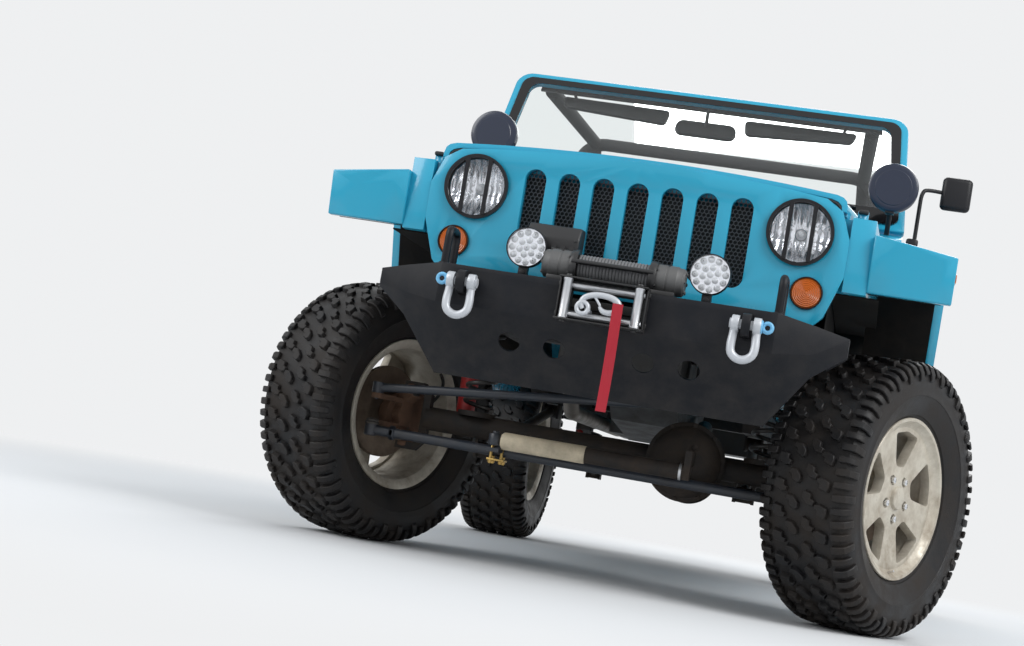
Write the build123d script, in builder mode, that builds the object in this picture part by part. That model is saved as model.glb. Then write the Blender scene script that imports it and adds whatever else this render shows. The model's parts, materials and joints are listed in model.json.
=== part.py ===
import os
from math import cos, radians, sin

from build123d import *

os.makedirs("parts", exist_ok=True)

# Main sizes, mm. The front faces -Y, the vehicle's left is +X and the ground is Z = 0.
WHEELBASE = 2424.0
FRONT_AXLE_Y = -1278.0
REAR_AXLE_Y = FRONT_AXLE_Y + WHEELBASE
BODY_LIFT = 110.0  # how far the body stands above its stock height
RUNNING_FIT = 0.3  # clearance round pins and shafts
PANEL_GAP = 6.0  # round the hood and the tailgate

# Wheels and steering
TYRE_RADIUS = 419.0
TYRE_WIDTH = 318.0
TREAD_DEPTH = 14.0
BEAD_RADIUS = 230.0
HALF_TRACK = 815.0
KINGPIN_X = 690.0
KINGPIN_RISE = 95.0  # ball joints above and below the axle line
STEER = 28.0  # degrees to the vehicle's right, as parked
STEER_ARM = 160.0
TIE_ROD_DROP = 42.0
DRAG_LINK_RISE = 84.0
HUB_BORE = 36.0
AXLE_TUBE = 38.0

# Ladder frame
RAIL_X = 375.0
RAIL_WIDTH = 60.0
RAIL_DEPTH = 100.0
RAIL_FRONT_Z = 610.0
RAIL_MID_Z = 455.0
RAIL_REAR_Z = 600.0
RAIL_FRONT_Y = -600.0
RAIL_REAR_Y = 2960.0

# Shock absorbers and suspension links
SHOCK_X = 530.0
SHOCK_EYE = 40.0
SHOCK_Y = ((110.0, 90.0), (110.0, 150.0))  # foot and head behind each axle
SHOCK_FOOT_Z = TYRE_RADIUS - 19.0
SHOCK_HEAD_Z = 685.0
LINK_AXLE_X = 420.0
LINK_EYE = 50.0
LINK_HANG_Z = 428.0

# Body tub, on the body's own heights and lengths behind the front axle
TUB_HALF = 785.0
SIDE_WALL = 45.0
COWL_FRONT = 640.0
COWL_REAR = 760.0
COWL_TOP = 1232.0
BELT = 1172.0
ROCKER = 490.0
FLOOR = 575.0
FLOOR_PLATE = 8.0
CARGO_FLOOR = 724.0
CARGO_FRONT = 1950.0
TUB_REAR = 3000.0
DOOR_FRONT = 740.0
DOOR_REAR = 1640.0
DOOR_SILL = 640.0
WHEELHOUSE_X = 560.0
GATE_HALF = 560.0

# Front sheet metal
GRILLE_FACE = -440.0
GRILLE_DEPTH = 40.0
GRILLE_LEAN = 2.2
GRILLE_HALF = 631.0
GRILLE_BOTTOM = 737.0
GRILLE_TOP = 1155.0
SLOT_COUNT = 7
SLOT_PITCH = 104.0
SLOT_WIDTH = 65.0
SLOT_BOTTOM = 824.0
SLOT_TOP = 1090.0
LAMP_X = 488.0
LAMP_Z = 1013.0
LAMP_RING = 98.0
LAMP_LENS = 88.0
SIGNAL_X = 532.0
SIGNAL_Z = 841.0
SIGNAL_R = 48.0
HOOD_FRONT_HALF = 610.0
HOOD_REAR_HALF = 735.0
HOOD_SKIN = 6.0
FLARE_INNER = 700.0
FLARE_OUTER = 940.0
FLARE_SKIN = 26.0

# Front bumper
BUMPER_FACE = -720.0
CHANNEL_HALF = 470.0
CHANNEL_BOTTOM = 626.0
CHANNEL_TOP = 740.0
WING_X = 680.0
SKID_BOTTOM = 432.0
TAB_X = 403.0
FAIRLEAD_HALF = 125.0


def ya(y):
    """Row Y of a length behind the front axle."""
    return FRONT_AXLE_Y + y


def zb(z):
    """Row Z of a height on the body's own scale."""
    return BODY_LIFT + z


def block(x, y, z, mode=Mode.ADD):
    """A box between pairs of X, body Y and body Z."""
    with Locations(((x[0] + x[1]) / 2, ya((y[0] + y[1]) / 2), zb((z[0] + z[1]) / 2))):
        Box(x[1] - x[0], y[1] - y[0], z[1] - z[0], mode=mode)


def side_profile(points, x0, x1, mode=Mode.ADD):
    """A side outline in body Y and Z, as solid from x0 to x1."""
    with BuildSketch(Plane(origin=(x0, 0, 0), x_dir=(0, 1, 0), z_dir=(1, 0, 0))) as outline:
        Polygon(*[(ya(y), zb(z)) for y, z in points], align=None)
    extrude(outline.sketch, amount=x1 - x0, mode=mode)


def tube(points, radius, bend):
    """A round bar along points in row mm, with its corners bent."""
    with BuildLine() as route:
        if len(points) > 2:
            FilletPolyline(*points, radius=bend)
        else:
            Line(*points)
    with BuildSketch(Plane(origin=route.line @ 0, z_dir=route.line % 0)) as section:
        Circle(radius)
    sweep(section.sketch, path=route.line)


def rod(a, b, radius, mode=Mode.ADD):
    """A straight round bar between two points in row mm."""
    a, b = Vector(*a), Vector(*b)
    with BuildSketch(Plane(origin=a, z_dir=b - a)) as section:
        Circle(radius)
    extrude(section.sketch, amount=(b - a).length, mode=mode)


def save(form, name):
    form.part.label = name
    export_step(form.part, f"parts/{name}.step")


# Ladder frame: two rails that kick up over the axles, and the members between them
rail_outline = (
    # body Y, top edge
    (RAIL_FRONT_Y, RAIL_FRONT_Z + RAIL_DEPTH),
    (350, RAIL_FRONT_Z + RAIL_DEPTH),
    (560, RAIL_MID_Z + RAIL_DEPTH),
    (1965, RAIL_MID_Z + RAIL_DEPTH),
    (2110, RAIL_REAR_Z + RAIL_DEPTH),
    (RAIL_REAR_Y, RAIL_REAR_Z + RAIL_DEPTH),
)
with BuildPart() as frame:
    for side in (-1, 1):
        rail = list(rail_outline) + [(y, z - RAIL_DEPTH) for y, z in reversed(rail_outline)]
        x0 = side * RAIL_X - RAIL_WIDTH / 2
        side_profile(rail, x0, x0 + RAIL_WIDTH)
    inner = RAIL_X - RAIL_WIDTH / 2
    for y0, y1, z0, z1 in (
        # body Y from and to, body Z from and to
        (-470, -410, 620, 690),
        (1560, 1640, 495, 550),
        (2120, 2180, 610, 690),
        (RAIL_REAR_Y - 60, RAIL_REAR_Y, 605, 695),
    ):
        block((-inner, inner), (y0, y1), (z0, z1))

    # body mounts between the rails and the tub
    for side in (-1, 1):
        for y in (720.0, 1400.0, 1800.0):
            with Locations((side * RAIL_X, ya(y), zb(RAIL_MID_Z + RAIL_DEPTH))):
                Cylinder(28, FLOOR - RAIL_MID_Z - RAIL_DEPTH, align=(Align.CENTER, Align.CENTER, Align.MIN))
        for y in (2200.0, 2880.0):
            with Locations((side * RAIL_X, ya(y), zb(RAIL_REAR_Z + RAIL_DEPTH))):
                Cylinder(28, CARGO_FLOOR - RAIL_REAR_Z - RAIL_DEPTH, align=(Align.CENTER, Align.CENTER, Align.MIN))
    # spring seats on the rails
    for side in (-1, 1):
        for y, top in ((0, RAIL_FRONT_Z + RAIL_DEPTH - 20), (WHEELBASE, RAIL_REAR_Z + 60)):
            x0, x1 = sorted((side * (RAIL_X + RAIL_WIDTH / 2), side * 530))
            block((x0, x1), (y - 60, y + 60), (top, top + 12))
        # ears for the links and arms out to the shock absorbers' upper eyes
        for y in (820, 1650):
            for x in (side * RAIL_X - LINK_EYE / 2 - 8, side * RAIL_X + LINK_EYE / 2):
                block((x, x + 8), (y - 26, y + 26), (LINK_HANG_Z - 26, RAIL_MID_Z))
        for axle_y, (_, head_y) in zip((0, WHEELBASE), SHOCK_Y):
            y = axle_y + head_y
            x0, x1 = sorted((side * (RAIL_X + RAIL_WIDTH / 2), side * (SHOCK_X - SHOCK_EYE / 2)))
            block((x0, x1), (y - 20, y + 20), (SHOCK_HEAD_Z - 10, SHOCK_HEAD_Z + 10))

# Tub floor, firewall and the riser to the cargo floor
INNER_HALF = TUB_HALF - SIDE_WALL
with BuildPart() as tub_floor:
    side_profile(
        (
            (COWL_FRONT, BELT),
            (COWL_FRONT, FLOOR),
            (CARGO_FRONT, FLOOR),
            (CARGO_FRONT, CARGO_FLOOR),
            (TUB_REAR - 30, CARGO_FLOOR),
            (TUB_REAR - 30, CARGO_FLOOR + FLOOR_PLATE),
            (CARGO_FRONT - FLOOR_PLATE, CARGO_FLOOR + FLOOR_PLATE),
            (CARGO_FRONT - FLOOR_PLATE, FLOOR + FLOOR_PLATE),
            (COWL_FRONT + FLOOR_PLATE, FLOOR + FLOOR_PLATE),
            (COWL_FRONT + FLOOR_PLATE, BELT),
        ),
        -INNER_HALF,
        INNER_HALF,
    )
    for side in (-1, 1):
        x0 = WHEELHOUSE_X if side > 0 else -INNER_HALF
        block((x0, x0 + INNER_HALF - WHEELHOUSE_X), (CARGO_FRONT, TUB_REAR - 30), (600, 800), Mode.SUBTRACT)

# Tub sides: outer wall with the door opening and the rear arch, wheelhouse and corner
ARCH_TOP = 880.0
REAR_Y = WHEELBASE
arch_outline = (
    (REAR_Y - 470, ROCKER - 10),
    (REAR_Y - 330, ARCH_TOP),
    (REAR_Y + 330, ARCH_TOP),
    (REAR_Y + 450, ROCKER - 10),
)
with BuildPart() as tub_side_left:
    side_profile(
        (
            (COWL_FRONT, ROCKER),
            (REAR_Y - 465, ROCKER),
            (REAR_Y - 330, ARCH_TOP),
            (REAR_Y + 330, ARCH_TOP),
            (REAR_Y + 420, ROCKER + 90),
            (TUB_REAR, ROCKER + 90),
            (TUB_REAR, BELT),
            (DOOR_REAR, BELT),
            (DOOR_REAR, 820),
            (DOOR_REAR - 120, DOOR_SILL),
            (DOOR_FRONT, DOOR_SILL),
            (DOOR_FRONT, BELT),
            (COWL_FRONT, BELT),
        ),
        INNER_HALF,
        TUB_HALF,
    )
    # wheelhouse over the tyre: inner wall and top
    side_profile(
        (
            (CARGO_FRONT, CARGO_FLOOR),
            (CARGO_FRONT, CARGO_FLOOR + 20),
            (REAR_Y - 345, ARCH_TOP + 8),
            (REAR_Y + 345, ARCH_TOP + 8),
            (TUB_REAR - 60, CARGO_FLOOR + 20),
            (TUB_REAR - 60, CARGO_FLOOR),
            (TUB_REAR - 68, CARGO_FLOOR),
            (REAR_Y + 341, ARCH_TOP),
            (REAR_Y - 341, ARCH_TOP),
            (CARGO_FRONT + 8, CARGO_FLOOR),
        ),
        WHEELHOUSE_X,
        INNER_HALF,
    )
    side_profile(
        (
            (CARGO_FRONT, ROCKER + 110),
            (CARGO_FRONT, CARGO_FLOOR + 20),
            (REAR_Y - 345, ARCH_TOP + 8),
            (REAR_Y + 345, ARCH_TOP + 8),
            (TUB_REAR - 60, CARGO_FLOOR + 20),
            (TUB_REAR - 60, ROCKER + 110),
        ),
        WHEELHOUSE_X - FLOOR_PLATE,
        WHEELHOUSE_X,
    )
    # rear corner beside the tailgate
    block((GATE_HALF + PANEL_GAP, INNER_HALF), (TUB_REAR - 30, TUB_REAR), (CARGO_FLOOR, BELT))
with BuildPart() as tub_side_right:
    add(tub_side_left.part.mirror(Plane.YZ))
with BuildPart(mode=Mode.PRIVATE) as both_sides:
    add(tub_side_left.part)
    add(tub_side_right.part)
with BuildPart() as floor_cut:
    add(tub_floor.part)
    add(both_sides.part, mode=Mode.SUBTRACT)
tub_floor = floor_cut

# Cowl and windshield
GLASS_BASE = (750.0, 1247.0)  # body Y and Z of the frame's foot
GLASS_HEAD = (920.0, 1690.0)
with BuildPart() as cowl:
    side_profile(
        ((COWL_FRONT, BELT), (COWL_FRONT, COWL_TOP - 22), (COWL_FRONT + 60, COWL_TOP), (COWL_REAR + 20, COWL_TOP),
         (COWL_REAR + 20, BELT)),
        -HOOD_REAR_HALF - 40,
        HOOD_REAR_HALF + 40,
    )

lean = Vector(0, GLASS_HEAD[0] - GLASS_BASE[0], GLASS_HEAD[1] - GLASS_BASE[1])
glass_height = lean.length
glass_normal = Vector(1, 0, 0).cross(lean.normalized())
windshield_plane = Plane(
    origin=(0, ya(GLASS_BASE[0]), zb(GLASS_BASE[1])), x_dir=(1, 0, 0), z_dir=glass_normal
)
FRAME_THICK = 34.0
GLASS_THICK = 6.0
with BuildPart() as windshield_frame:
    with BuildSketch(windshield_plane):
        Polygon((-780, -40), (780, -40), (735, glass_height), (-735, glass_height), align=None)
        Polygon((-700, 55), (700, 55), (668, glass_height - 48), (-668, glass_height - 48), align=None,
                mode=Mode.SUBTRACT)
    extrude(amount=FRAME_THICK / 2, both=True)
    # the foot is cut level on the cowl
    block((-800, 800), (650, 900), (COWL_TOP - 80, COWL_TOP), Mode.SUBTRACT)
with BuildPart() as frame_with_mirror:
    add(windshield_frame.part)
    rod((0, ya(925), zb(1672)), (0, ya(932), zb(1600)), 8)
    block((-120, 120), (924, 948), (1555, 1622))
windshield_frame = frame_with_mirror
with BuildPart() as windshield_glass:
    with BuildSketch(windshield_plane):
        Polygon((-700, 55), (700, 55), (668, glass_height - 48), (-668, glass_height - 48), align=None)
    extrude(amount=GLASS_THICK / 2, both=True)

# Dashboard and steering column
WHEEL_AT = (370.0, 1090.0, 1130.0)  # steering wheel centre: X, body Y, body Z
COLUMN_TILT = 28.0
column_dir = Vector(0, cos(radians(COLUMN_TILT)), sin(radians(COLUMN_TILT)))
wheel_centre = Vector(WHEEL_AT[0], ya(WHEEL_AT[1]), zb(WHEEL_AT[2]))
with BuildPart() as dashboard:
    side_profile(
        ((COWL_FRONT + FLOOR_PLATE, 960), (COWL_FRONT + FLOOR_PLATE, BELT), (COWL_REAR + 20, BELT),
         (COWL_REAR + 20, COWL_TOP - 8), (COWL_REAR + 120, COWL_TOP - 30), (COWL_REAR + 150, 1060),
         (COWL_REAR + 60, 960)),
        -700,
        700,
    )
    rod(wheel_centre - column_dir * 260, wheel_centre - column_dir * 30, 26)
with BuildPart() as steering_wheel:
    with BuildSketch(Plane(origin=wheel_centre, z_dir=column_dir)) as wheel_face:
        Circle(190)
        Circle(162, mode=Mode.SUBTRACT)
        Circle(48)
        with PolarLocations(105, 3, start_angle=90):
            Rectangle(120, 34)
    extrude(amount=12, both=True)
    with BuildSketch(Plane(origin=wheel_centre, z_dir=-column_dir)):
        Circle(20)
    extrude(amount=30 - RUNNING_FIT)

# Seats
with BuildPart() as front_seats:
    for x in (-370.0, 370.0):
        side_profile(((1200, FLOOR + FLOOR_PLATE), (1200, 760), (1240, 800), (1660, 770), (1660, FLOOR + FLOOR_PLATE)),
                     x - 245, x + 245)
        side_profile(((1600, 774), (1720, 767), (1830, 1330), (1810, 1400), (1740, 1400), (1700, 1330)),
                     x - 235, x + 235)
with BuildPart() as rear_bench:
    side_profile(((2080, CARGO_FLOOR + FLOOR_PLATE), (2080, 960), (2520, 940), (2520, CARGO_FLOOR + FLOOR_PLATE)),
                 -500, 500)
    side_profile(((2480, 942), (2560, 938), (2660, 1320), (2560, 1340)), -500, 500)

# Sport bar
BAR_RADIUS = 27.0
BAR_X = 640.0
BAR_TOP = 1650.0
BAR_Y = 1900.0
with BuildPart() as sport_bar:
    tube([(-BAR_X, ya(BAR_Y), zb(FLOOR + FLOOR_PLATE)), (-BAR_X, ya(BAR_Y), zb(BAR_TOP)),
          (BAR_X, ya(BAR_Y), zb(BAR_TOP)), (BAR_X, ya(BAR_Y), zb(FLOOR + FLOOR_PLATE))], BAR_RADIUS, 110)
    for side in (-1, 1):
        tube([(side * (BAR_X - 60), ya(BAR_Y), zb(BAR_TOP)), (side * (BAR_X - 30), ya(960), zb(BAR_TOP - 5))],
             BAR_RADIUS, 50)
        tube([(side * (BAR_X - 60), ya(BAR_Y), zb(BAR_TOP)), (side * BAR_X, ya(2700), zb(ARCH_TOP + 8))],
             BAR_RADIUS, 50)
    block((-BAR_X - 60, BAR_X + 60), (880, 960), (BAR_TOP - 60, BAR_TOP + 60), Mode.SUBTRACT)
    add(both_sides.part, mode=Mode.SUBTRACT)
    add(rear_bench.part, mode=Mode.SUBTRACT)
    add(front_seats.part, mode=Mode.SUBTRACT)
    add(windshield_frame.part, mode=Mode.SUBTRACT)

# Grille: leaning plate with slots, lamp holes and signal holes
grille_plane = Plane(
    origin=(0, ya(GRILLE_FACE), zb(940)), x_dir=(1, 0, 0),
    z_dir=(0, -cos(radians(GRILLE_LEAN)), -sin(radians(GRILLE_LEAN))),
)


def up(z):
    """Height on the grille plane of a body height."""
    return (z - 940) / cos(radians(GRILLE_LEAN))


with BuildPart() as grille:
    with BuildSketch(grille_plane) as grille_face:
        with BuildLine():
            Polyline((-589, up(GRILLE_BOTTOM + 40)), (-GRILLE_HALF, up(900)), (-GRILLE_HALF, up(1010)),
                     (-600, up(1090)), (-550, up(1122)))
            ThreePointArc((-550, up(1122)), (0, up(GRILLE_TOP)), (550, up(1122)))
            Polyline((550, up(1122)), (600, up(1090)), (GRILLE_HALF, up(1010)), (GRILLE_HALF, up(900)),
                     (589, up(GRILLE_BOTTOM + 40)), (550, up(GRILLE_BOTTOM)), (-550, up(GRILLE_BOTTOM)),
                     (-589, up(GRILLE_BOTTOM + 40)))
        make_face()
        with Locations((0, up((SLOT_BOTTOM + SLOT_TOP) / 2))):
            with GridLocations(SLOT_PITCH, 1, SLOT_COUNT, 1):
                SlotOverall(SLOT_TOP - SLOT_BOTTOM, SLOT_WIDTH, rotation=90, mode=Mode.SUBTRACT)
        with Locations((-LAMP_X, up(LAMP_Z)), (LAMP_X, up(LAMP_Z))):
            Circle(LAMP_LENS + 2, mode=Mode.SUBTRACT)
        with Locations((-SIGNAL_X, up(SIGNAL_Z)), (SIGNAL_X, up(SIGNAL_Z))):
            Circle(SIGNAL_R - 6, mode=Mode.SUBTRACT)
    extrude(amount=-GRILLE_DEPTH)

with BuildPart() as grille_mesh:
    with BuildSketch(grille_plane.offset(-GRILLE_DEPTH)):
        with Locations((0, up((SLOT_BOTTOM + SLOT_TOP) / 2))):
            Rectangle(SLOT_PITCH * SLOT_COUNT, SLOT_TOP - SLOT_BOTTOM + 20)
    extrude(amount=-4)

with BuildPart() as headlamp_rings:
    with BuildSketch(grille_plane):
        with Locations((-LAMP_X, up(LAMP_Z)), (LAMP_X, up(LAMP_Z))):
            Circle(LAMP_RING)
            Circle(LAMP_LENS, mode=Mode.SUBTRACT)
    extrude(amount=14)
    with BuildSketch(grille_plane.offset(14)):
        with Locations((-LAMP_X, up(LAMP_Z)), (LAMP_X, up(LAMP_Z))):
            with GridLocations(70, 1, 2, 1):
                Rectangle(12, 2 * LAMP_LENS - 10)
    extrude(amount=8)
with BuildPart() as headlamps:
    with BuildSketch(grille_plane.offset(-30)):
        with Locations((-LAMP_X, up(LAMP_Z)), (LAMP_X, up(LAMP_Z))):
            Circle(LAMP_LENS)
    extrude(amount=38)

with BuildPart() as signal_lamps:
    with BuildSketch(grille_plane):
        with Locations((-SIGNAL_X, up(SIGNAL_Z)), (SIGNAL_X, up(SIGNAL_Z))):
            Circle(SIGNAL_R)
    extrude(amount=12)

# Radiator and engine
with BuildPart() as radiator:
    add(grille_mesh.part)
    block((-350, 350), (-380, -310), (720, 1070))
    block((-320, 320), (-470, -380), (690, 720))
    block((-320, 320), (-380, -340), (690, 720))
with BuildPart() as engine_block:
    block((-190, 190), (-240, 380), (520, 1000))
    block((-345, 345), (30, 90), (620, 690))
with BuildPart() as gearbox:
    side_profile(((380, 540), (380, 880), (560, 860), (620, 570), (1150, 560), (1150, 380), (600, 430)), -120, 120)
    block((-200, 120), (1150, 1470), (400, 560))

# Hood: crowned skin over a tray open below, with hinge leaves
HOOD_FRONT = GRILLE_FACE + 44.0
HOOD_REAR = COWL_FRONT - PANEL_GAP
HOOD_EDGE = 1085.0


def hood_section(y, half, top, inset):
    """Cross-section of the hood at body length y, inset from its outside."""
    with BuildSketch(Plane(origin=(0, ya(y), 0), x_dir=(1, 0, 0), z_dir=(0, -1, 0))) as section:
        with BuildLine():
            edge, crown, shoulder = half - inset, zb(top) - inset, zb(top) - 62 - inset
            floor = zb(HOOD_EDGE) - (20 if inset else 0)
            Line((-edge, floor), (-edge, shoulder))
            ThreePointArc((-edge, shoulder), (-edge + 16, shoulder + 30), (-edge + 60, shoulder + 38))
            ThreePointArc((-edge + 60, shoulder + 38), (0, crown), (edge - 60, shoulder + 38))
            ThreePointArc((edge - 60, shoulder + 38), (edge - 16, shoulder + 30), (edge, shoulder))
            Line((edge, shoulder), (edge, floor))
            Line((edge, floor), (-edge, floor))
        make_face()
    return section.sketch


with BuildPart() as hood:
    loft([hood_section(HOOD_FRONT, HOOD_FRONT_HALF, 1164, 0), hood_section(HOOD_REAR, HOOD_REAR_HALF, 1222, 0)])
    with BuildPart(mode=Mode.PRIVATE) as hood_inside:
        loft([hood_section(HOOD_FRONT + 30, HOOD_FRONT_HALF, 1164, HOOD_SKIN),
              hood_section(HOOD_REAR - 30, HOOD_REAR_HALF, 1222, HOOD_SKIN)])
    add(hood_inside.part, mode=Mode.SUBTRACT)
    add(engine_block.part, mode=Mode.SUBTRACT)

HINGE_Y = HOOD_REAR
HINGE_Z = 1238.0
HINGE_X = 330.0
with BuildPart() as cowl_hinges:
    add(cowl.part)
    for side in (-1, 1):
        with Locations((side * HINGE_X, ya(HINGE_Y), zb(HINGE_Z))):
            Cylinder(6, 60, rotation=(0, 90, 0))
            with Locations((-24, 0, 0), (24, 0, 0)):
                Cylinder(11, 12, rotation=(0, 90, 0))
        for x in (-24, 24):
            cx = side * HINGE_X + x
            block((cx - 6, cx + 6), (HINGE_Y, COWL_FRONT + 60), (COWL_TOP - 20, HINGE_Z + 6))
cowl = cowl_hinges
with BuildPart() as hood_leaves:
    add(hood.part)
    for side in (-1, 1):
        with Locations((side * HINGE_X, ya(HINGE_Y), zb(HINGE_Z))):
            Cylinder(11, 24, rotation=(0, 90, 0))
        cx = side * HINGE_X
        block((cx - 12, cx + 12), (HINGE_Y - 60, HINGE_Y), (HINGE_Z - 40, HINGE_Z + 4))
        with Locations((cx, ya(HINGE_Y), zb(HINGE_Z))):
            Cylinder(6 + RUNNING_FIT, 30, rotation=(0, 90, 0), mode=Mode.SUBTRACT)
    add(hood_inside.part, mode=Mode.SUBTRACT)
hood = hood_leaves

# Front fenders: the body beside the hood and the inner liner
FENDER_EDGE = HOOD_EDGE
with BuildPart() as front_fenders:
    for side in (-1, 1):
        with BuildSketch(Plane.XY.offset(zb(860))):
            Polygon(
                (side * GRILLE_HALF, ya(GRILLE_FACE + 2)),
                (side * FLARE_INNER, ya(GRILLE_FACE + 12)),
                (side * INNER_HALF, ya(COWL_FRONT)),
                (side * 600, ya(COWL_FRONT)),
                (side * 600, ya(-395)),
                (side * GRILLE_HALF, ya(-395)),
                align=None,
            )
        extrude(amount=FENDER_EDGE - PANEL_GAP - 860)
    add(grille.part, mode=Mode.SUBTRACT)

# Flares: arches of body colour over the wheels
FRONT_FLARE = (
    # body Y, body Z at the inner edge, body Z at the outer edge
    (-432, 868, 868),
    (-456, 1036, 1002),
    (300, 1036, 1002),
    (505, 560, 560),
    (472, 560, 560),
    (284, 1006, 972),
    (-424, 1006, 972),
    (-404, 868, 868),
)
REAR_FLARE = (
    (REAR_Y - 500, 560, 560),
    (REAR_Y - 345, 930, 905),
    (REAR_Y + 345, 930, 905),
    (REAR_Y + 470, 600, 600),
    (REAR_Y + 440, 600, 600),
    (REAR_Y + 328, 904, 879),
    (REAR_Y - 328, 904, 879),
    (REAR_Y - 470, 560, 560),
)


def flare(table, inner_x, outer_x):
    """One arch, lofted from the body side to its lip, and its twin."""
    sections = []
    for x, column in ((inner_x, 1), (outer_x, 2)):
        with BuildSketch(Plane(origin=(x, 0, 0), x_dir=(0, 1, 0), z_dir=(1, 0, 0))) as section:
            Polygon(*[(ya(row[0]), zb(row[column])) for row in table], align=None)
        sections.append(section.sketch)
    loft(sections, ruled=True)


with BuildPart() as front_flares:
    flare(FRONT_FLARE, FLARE_INNER, FLARE_OUTER)
    block((FLARE_INNER - 1, INNER_HALF + 1), (-300, COWL_FRONT), (560, 1100), Mode.SUBTRACT)
    block((INNER_HALF + 1, TUB_HALF + 0.5), (COWL_FRONT, COWL_FRONT + 10), (560, 1100), Mode.SUBTRACT)
    add(front_fenders.part, mode=Mode.SUBTRACT)
    mirror(about=Plane.YZ)
with BuildPart() as rear_flares:
    flare(REAR_FLARE, TUB_HALF, FLARE_OUTER)
    mirror(about=Plane.YZ)

# Hood latches on the fenders
with BuildPart() as fenders_with_latches:
    add(front_fenders.part)
    for side in (-1, 1):
        with Locations((side * 655, ya(-300), zb(FENDER_EDGE - PANEL_GAP))):
            Cylinder(16, 44, align=(Align.CENTER, Align.CENTER, Align.MIN))

front_fenders = fenders_with_latches

# Front bumper: top channel, wings, leaning skid plate, shackle tabs and hoops
with BuildPart() as front_bumper:
    block((-CHANNEL_HALF, CHANNEL_HALF), (BUMPER_FACE, RAIL_FRONT_Y), (CHANNEL_BOTTOM, CHANNEL_TOP))
    for side in (-1, 1):
        for x, y0, y1, z0, z1 in (
            (CHANNEL_HALF, BUMPER_FACE, RAIL_FRONT_Y, CHANNEL_BOTTOM, CHANNEL_TOP),
            (WING_X, -620, -560, 668, 708),
        ):
            with BuildSketch(Plane(origin=(side * x, 0, 0), x_dir=(0, 1, 0), z_dir=(1, 0, 0))):
                Polygon((ya(y0), zb(z0)), (ya(y1), zb(z0)), (ya(y1), zb(z1)), (ya(y0), zb(z1)), align=None)
        loft(ruled=True)
    # skid plate
    skid = Vector(0, 130, -(CHANNEL_BOTTOM - SKID_BOTTOM))
    skid_plane = Plane(origin=(0, ya(BUMPER_FACE), zb(CHANNEL_BOTTOM)), x_dir=(1, 0, 0),
                       z_dir=Vector(1, 0, 0).cross(-skid).normalized())
    with BuildSketch(skid_plane) as skid_face:
        drop = skid.length
        Polygon((-560, 0), (560, 0), (585, -60), (495, -drop), (-495, -drop), (-585, -60), align=None)
        with Locations((-259, -0.4 * drop), (-128, -0.4 * drop), (128, -0.4 * drop), (259, -0.4 * drop)):
            Circle(31, mode=Mode.SUBTRACT)
    extrude(amount=10, both=True)
    # tabs with their shackle holes
    for side in (-1, 1):
        with BuildSketch(Plane(origin=(side * TAB_X - 12, 0, 0), x_dir=(0, 1, 0), z_dir=(1, 0, 0))):
            with Locations((ya(BUMPER_FACE - 40), zb(690))):
                SlotCenterPoint((40, 0), (0, 0), 64)
                Circle(14, mode=Mode.SUBTRACT)
        extrude(amount=24)
    block((-CHANNEL_HALF, CHANNEL_HALF), (BUMPER_FACE + 8, RAIL_FRONT_Y), (CHANNEL_BOTTOM + 8, CHANNEL_TOP - 8),
          Mode.SUBTRACT)
    for side in (-1, 1):
        block((side * RAIL_X - 30, side * RAIL_X + 30), (RAIL_FRONT_Y - 8, RAIL_FRONT_Y), (CHANNEL_BOTTOM, CHANNEL_TOP))
        tube([(side * 480, ya(-690), zb(CHANNEL_TOP)), (side * 480, ya(-690), zb(838)),
              (side * 480, ya(-600), zb(838)), (side * 480, ya(-600), zb(CHANNEL_TOP - 30))], 12, 34)

with BuildPart() as shackles:
    for side in (-1, 1):
        cx = side * TAB_X
        with BuildPart(mode=Mode.PRIVATE) as bow:
            tube([(cx - 30, ya(BUMPER_FACE - 40), zb(705)), (cx - 30, ya(BUMPER_FACE - 48), zb(600)),
                  (cx + 30, ya(BUMPER_FACE - 48), zb(600)), (cx + 30, ya(BUMPER_FACE - 40), zb(705))], 12, 28)
            rod((cx - 50, ya(BUMPER_FACE - 40), zb(690)), (cx + 50, ya(BUMPER_FACE - 40), zb(690)), 13.7)
        add(bow.part)

# Roller fairlead, winch, rope, hook and strap
with BuildPart() as fairlead:
    with BuildSketch(Plane(origin=(0, ya(BUMPER_FACE), zb(688)), x_dir=(1, 0, 0), z_dir=(0, -1, 0))):
        Rectangle(2 * FAIRLEAD_HALF, 122)
        Rectangle(2 * FAIRLEAD_HALF - 60, 70, mode=Mode.SUBTRACT)
    extrude(amount=8)
    for z in (688 - 61, 688 + 57):
        block((-FAIRLEAD_HALF, FAIRLEAD_HALF), (BUMPER_FACE - 62, BUMPER_FACE - 8), (z, z + 4))
    for x in (-FAIRLEAD_HALF, FAIRLEAD_HALF - 4):
        block((x, x + 4), (BUMPER_FACE - 42, BUMPER_FACE - 8), (688 - 57, 688 + 57))
    for x in (-FAIRLEAD_HALF + 24, FAIRLEAD_HALF - 24):
        with Locations((x, ya(BUMPER_FACE - 46), zb(688))):
            Cylinder(14, 114)
    for z in (688 - 42, 688 + 42):
        with Locations((0, ya(BUMPER_FACE - 21), zb(z))):
            Cylinder(10.5, 2 * FAIRLEAD_HALF - 8, rotation=(0, 90, 0))
with BuildPart() as winch:
    for x0, x1 in ((-290, -140), (140, 290)):
        with Locations(((x0 + x1) / 2, ya(-660 + 20), zb(CHANNEL_TOP + 60))):
            Cylinder(58, x1 - x0, rotation=(0, 90, 0))
        block((x0, x1), (-700, -602), (CHANNEL_TOP, CHANNEL_TOP + 30))
    for y in (-690, -595):
        rod((-140, ya(y), zb(CHANNEL_TOP + 96)), (140, ya(y), zb(CHANNEL_TOP + 96)), 8)
    rod((-140, ya(-640), zb(CHANNEL_TOP + 60)), (140, ya(-640), zb(CHANNEL_TOP + 60)), 36)
    block((-286, -112), (-690, -600), (CHANNEL_TOP + 118, CHANNEL_TOP + 175))
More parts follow.
